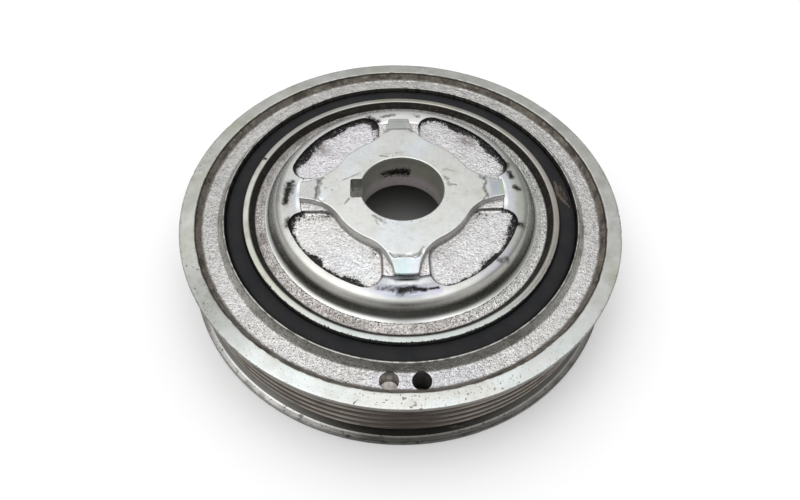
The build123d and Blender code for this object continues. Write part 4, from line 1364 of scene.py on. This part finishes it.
def iron(name, marked=False):
    N = Nodes(name)
    tint = N.attr("tint", True)
    metal, rgh = N.attr("metal"), N.attr("rgh")
    cast, turned, oil = N.attr("cast"), N.attr("turned"), N.attr("oil")
    pits = N.attr("pits")
    # cast grain
    g1 = N.noise(1.35, 3.0, 0.64)
    g2 = N.noise(2.6, 2.0, 0.6)
    grain = N.m("ADD", N.m("MULTIPLY", g1, 0.9), N.m("MULTIPLY", g2, 0.55))
    # turning marks: noise that runs round the axis
    ring_v = N.vec(N.m("MULTIPLY", N.r, 1.0), N.m("MULTIPLY", N.th, 1.3), N.m("MULTIPLY", N.z, 1.0))
    t1 = N.noise(2.6, 3.0, 0.65, vec=ring_v)
    t2 = N.noise(0.7, 2.0, 0.5, vec=ring_v)
    blotch = N.noise(0.16, 4.0, 0.6)
    fineb = N.noise(0.85, 4.0, 0.68)
    # base colour
    v = N.m("ADD", N.m("MULTIPLY", N.m("SUBTRACT", grain, 0.725), N.m("MULTIPLY", cast, 1.30)), 1.0)
    v = N.m("ADD", v, N.m("MULTIPLY", N.m("SUBTRACT", t1, 0.5), N.m("MULTIPLY", turned, 0.35)))
    v = N.m("ADD", v, N.m("MULTIPLY", N.m("SUBTRACT", blotch, 0.5), 0.30))
    v = N.m("ADD", v, N.m("MULTIPLY", N.m("SUBTRACT", fineb, 0.5), 0.22))
    v = N.m("MAXIMUM", v, 0.15)
    vv = N.vec(v, v, v)
    base = N.mix(1.0, tint, vv, "MULTIPLY")
    # dark specks between the grains of the cast skin
    speck = N.map(g2, 0.55, 0.66)
    base = N.mix(N.m("MULTIPLY", speck, N.m("MULTIPLY", cast, 0.66)), base, lin(66, 62, 60))
    # pits in the machined faces
    dot = N.map(N.noise(0.95, 1.0, 0.4), 0.66, 0.70)
    dot2 = N.map(N.noise(1.9, 1.0, 0.4), 0.70, 0.74)
    pm = N.m("MAXIMUM", N.m("MULTIPLY", dot, N.map(pits, 0.35, 0.8)), N.m("MULTIPLY", dot2, N.map(pits, 0.05, 0.5)))
    base = N.mix(N.m("MULTIPLY", pm, 0.7), base, lin(66, 63, 58))
    # scuffs: short streaks with a little less shine
    st = N.noise(0.5, 4.0, 0.7, vec=N.vec(N.m("MULTIPLY", N.x, 0.35), N.m("MULTIPLY", N.y, 1.6), N.z))
    sc = N.m("MULTIPLY", N.map(st, 0.60, 0.72), N.m("SUBTRACT", 1.0, cast))
    base = N.mix(N.m("MULTIPLY", sc, 0.28), base, lin(124, 122, 114))
    # grey scuffs and black smears, each along a short line
    if marked:
        sn = N.m("MULTIPLY", N.m("SUBTRACT", fineb, 0.5), 2.2)
        sf = N.lines([(a, b, c, d, w * 1.5, k) for a, b, c, d, w, k in SCUFF])
        sm = N.map(N.m("ADD", sf, N.m("MULTIPLY", sn, N.map(sf, 0.0, 0.2))), 0.25, 0.95)
        base = N.mix(N.m("MULTIPLY", N.m("MULTIPLY", sm, 0.66), N.map(N.z, 31.4, 31.8)), base, lin(100, 98, 92))
        sl = N.m("MULTIPLY", N.lines([(a, b, c, d, w * 1.35, k) for a, b, c, d, w, k in SMEAR]),
                 N.map(N.z, 27.0, 27.6))
        hz = N.m("MULTIPLY", N.map(sl, 0.02, 0.45), N.map(fineb, 0.34, 0.62, 0.15, 0.75))
        base = N.mix(N.m("MULTIPLY", hz, 0.75), base, lin(66, 62, 62))
        som = N.m("MULTIPLY", N.m("ADD", N.m("SUBTRACT", fineb, 0.5), N.m("SUBTRACT", g2, 0.5)), N.map(sl, 0.0, 0.12, 0.0, 1.0))
        som = N.map(N.m("ADD", sl, som), 0.34, 1.0)
        # the near-white patch low in the keyway: painted light, for light coming up through the bore
        keyway_light = N.m("MULTIPLY", N.m("MULTIPLY", N.map(N.r, 13.55, 13.65), N.map(N.r, 17.5, 17.3)),
                 N.m("MULTIPLY", N.map(N.x, -12.6, -13.0), N.map(N.z, 29.2, 27.6)))
        keyway_light = N.m("MULTIPLY", keyway_light, N.map(N.z, 18.7, 18.8))
        base = N.mix(N.m("MULTIPLY", keyway_light, N.map(fineb, 0.40, 0.50, 0.25, 1.0)), base, (1.0, 1.0, 0.96))
    # black residue
    edge = N.m("ADD", oil, N.m("MULTIPLY", N.m("SUBTRACT", fineb, 0.5), N.m("MULTIPLY", N.map(oil, 0.06, 0.25), 1.5)))
    edge = N.m("ADD", edge, N.m("MULTIPLY", N.m("SUBTRACT", 0.5, g2), N.m("MULTIPLY", N.map(oil, 0.06, 0.25), 2.4)))
    om = N.map(edge, 0.36, 0.68)
    if marked:
        om = N.m("MAXIMUM", om, som)
    res = N.mix(N.map(blotch, 0.4, 0.6), lin(13, 12, 13), lin(27, 23, 21))
    base = N.mix(N.m("MULTIPLY", om, 0.985), base, res)
    N.link(base, N.bsdf.inputs["Base Color"])
    mt = N.m("MULTIPLY", metal, N.m("SUBTRACT", 1.0, N.m("MULTIPLY", om, 0.9)))
    N.link(mt, N.bsdf.inputs["Metallic"])
    rg = N.m("ADD", rgh, N.m("MULTIPLY", N.m("SUBTRACT", fineb, 0.5), N.m("ADD", 0.08, N.m("MULTIPLY", cast, 0.12))))
    rg = N.m("ADD", rg, N.m("MULTIPLY", sc, 0.06))
    rg = N.m("ADD", rg, N.m("MULTIPLY", om, 0.12), clamp=True)
    N.link(rg, N.bsdf.inputs["Roughness"])
    N.bsdf.inputs["Specular IOR Level"].default_value = 0.12
    b1 = N.bump(grain, N.m("MULTIPLY", cast, 1.0), 0.24)
    b2 = N.bump(N.m("ADD", t1, N.m("MULTIPLY", t2, 0.5)), N.m("MULTIPLY", turned, 0.22), 0.05, b1)
    b3 = N.bump(N.m("SUBTRACT", 1.0, pm), 0.5, 0.10, b2)
    N.t.links.new(b3, N.bsdf.inputs["Normal"])
    return N.mat


def rubber_mat(name):
    N = Nodes(name)
    gap, brown = N.attr("gap"), N.attr("brown")
    b = N.noise(0.12, 3.0, 0.6)
    f = N.noise(1.3, 3.0, 0.6)
    col = N.mix(N.map(b, 0.35, 0.65), lin(26, 27, 30), lin(33, 33, 34))
    col = N.mix(N.m("MULTIPLY", N.map(N.m("ADD", brown, N.m("MULTIPLY", N.m("SUBTRACT", f, 0.5), 0.6)), 0.35, 0.8), 0.8),
                col, lin(92, 80, 70))
    # near-black at the edges: painted shade in the gaps
    col = N.mix(N.m("MULTIPLY", gap, 0.9), col, lin(8, 8, 8))
    N.link(col, N.bsdf.inputs["Base Color"])
    rg = N.map(f, 0.3, 0.7, 0.42, 0.58)
    N.link(rg, N.bsdf.inputs["Roughness"])
    N.bsdf.inputs["Specular IOR Level"].default_value = 0.13
    bb = N.bump(f, 0.25, 0.10)
    N.t.links.new(bb, N.bsdf.inputs["Normal"])
    return N.mat


def floor_mat():
    N = Nodes("floor")
    n = N.noise(0.02, 3.0, 0.5)
    col = N.mix(n, lin(243, 243, 243), lin(246, 246, 246))
    # a darker disc under the pulley, seen through the bore: painted shade
    col = N.mix(N.map(N.r, 45.0, 30.0), col, lin(156, 156, 156))
    N.link(col, N.bsdf.inputs["Base Color"])
    N.bsdf.inputs["Roughness"].default_value = 0.6
    N.bsdf.inputs["Specular IOR Level"].default_value = 0.2
    return N.mat


def dress(ob, mat, node):
    ob.data.materials.clear()
    ob.data.materials.append(mat)
    ob.data.polygons.foreach_set("use_smooth", np.ones(len(ob.data.polygons), bool))
    ob.data.set_sharp_from_angle(angle=math.radians(42))
    ob.data.update()
    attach(ob, "root")
    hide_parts(node)


dress(rim, iron("rim_iron"), "pulley_rim")
dress(hub, iron("hub_iron", True), "hub")
dress(rubber, rubber_mat("damper_rubber"), "rubber_ring")

# ---------------------------------------------------------------------------
# floor, light, camera
# ---------------------------------------------------------------------------
fme = bpy.data.meshes.new("floor")
fme.from_pydata([(-3, -3, 0), (3, -3, 0), (3, 3, 0), (-3, 3, 0)], [], [(0, 1, 2, 3)])
floor = bpy.data.objects.new("floor", fme)
bpy.context.scene.collection.objects.link(floor)
fme.materials.append(floor_mat())

world = bpy.data.worlds.new("studio")
bpy.context.scene.world = world
world.use_nodes = True
wt = world.node_tree
wt.nodes.clear()
wo = wt.nodes.new("ShaderNodeOutputWorld")
bg = wt.nodes.new("ShaderNodeBackground")
wt.links.new(bg.outputs[0], wo.inputs[0])
tc = wt.nodes.new("ShaderNodeTexCoord")
sp = wt.nodes.new("ShaderNodeSeparateXYZ")
wt.links.new(tc.outputs["Generated"], sp.inputs[0])


def wmath(op, a, b=None, clamp=False):
    n = wt.nodes.new("ShaderNodeMath")
    n.operation = op
    n.use_clamp = clamp
    for i, v in enumerate((a, b)):
        if v is None:
            continue
        if hasattr(v, "links"):
            wt.links.new(v, n.inputs[i])
        else:
            n.inputs[i].default_value = v
    return n.outputs[0]


def wramp(v, stops):
    n = wt.nodes.new("ShaderNodeValToRGB")
    wt.links.new(v, n.inputs[0])
    e = n.color_ramp.elements
    while len(e) > 1:
        e.remove(e[0])
    for k, (pos, c) in enumerate(stops):
        s = e[0] if k == 0 else e.new(pos)
        s.position = pos
        s.color = (c, c, c, 1.0)
    return n.outputs[0]


# brightness by elevation, more of it from the left, and a darker room behind the viewer
elev = wramp(sp.outputs[2], [(0.0, 0.17), (0.30, 0.23), (0.50, 0.31), (0.60, 0.38), (0.68, 0.468),
                             (0.73, 0.53), (0.78, 0.605), (0.85, 0.755), (0.93, 0.975), (1.0, 0.96)])
toward = wramp(wmath("ADD", wmath("MULTIPLY", sp.outputs[1], -0.5), 0.5),
               [(0.50, 0.0), (0.70, 1.0), (1.0, 1.0)])
low = wramp(sp.outputs[2], [(0.0, 1.0), (0.22, 1.0), (0.66, 0.0)])
dark = wmath("SUBTRACT", 1.0, wmath("MULTIPLY", wmath("MULTIPLY", toward, low), 0.86))
side = wmath("SUBTRACT", 1.0, wmath("MULTIPLY", wmath("MULTIPLY", sp.outputs[0], 0.43),
                                    wramp(sp.outputs[2], [(0.0, 0.0), (0.40, 0.25), (0.72, 1.0)])))
wt.links.new(wmath("MULTIPLY", wmath("MULTIPLY", wmath("MULTIPLY", elev, 2.2), side), dark),
             bg.inputs["Strength"])
bg.inputs["Color"].default_value = (1.0, 1.0, 1.0, 1.0)


cam_d = bpy.data.cameras.new("cam")
cam_d.sensor_fit = "HORIZONTAL"
cam_d.sensor_width = 36.0
cam_d.lens = 604.736 * 36.0 / 800.0
cam_d.clip_start, cam_d.clip_end = 0.01, 20
cam = bpy.data.objects.new("cam", cam_d)
bpy.context.scene.collection.objects.link(cam)
C = (-0.009178866, -0.131263901, 0.178327335)
fw = Vector((0.041181943, 0.588721033, -0.807286562))
ri = Vector((0.998980576, -0.039212668, 0.022364596))
up = Vector((0.018489352, 0.807384612, 0.589735731))
cam.matrix_world = Matrix(((ri.x, up.x, -fw.x, C[0]), (ri.y, up.y, -fw.y, C[1]),
                           (ri.z, up.z, -fw.z, C[2]), (0, 0, 0, 1)))
bpy.context.scene.camera = cam
bpy.context.scene.view_settings.view_transform = "Standard"
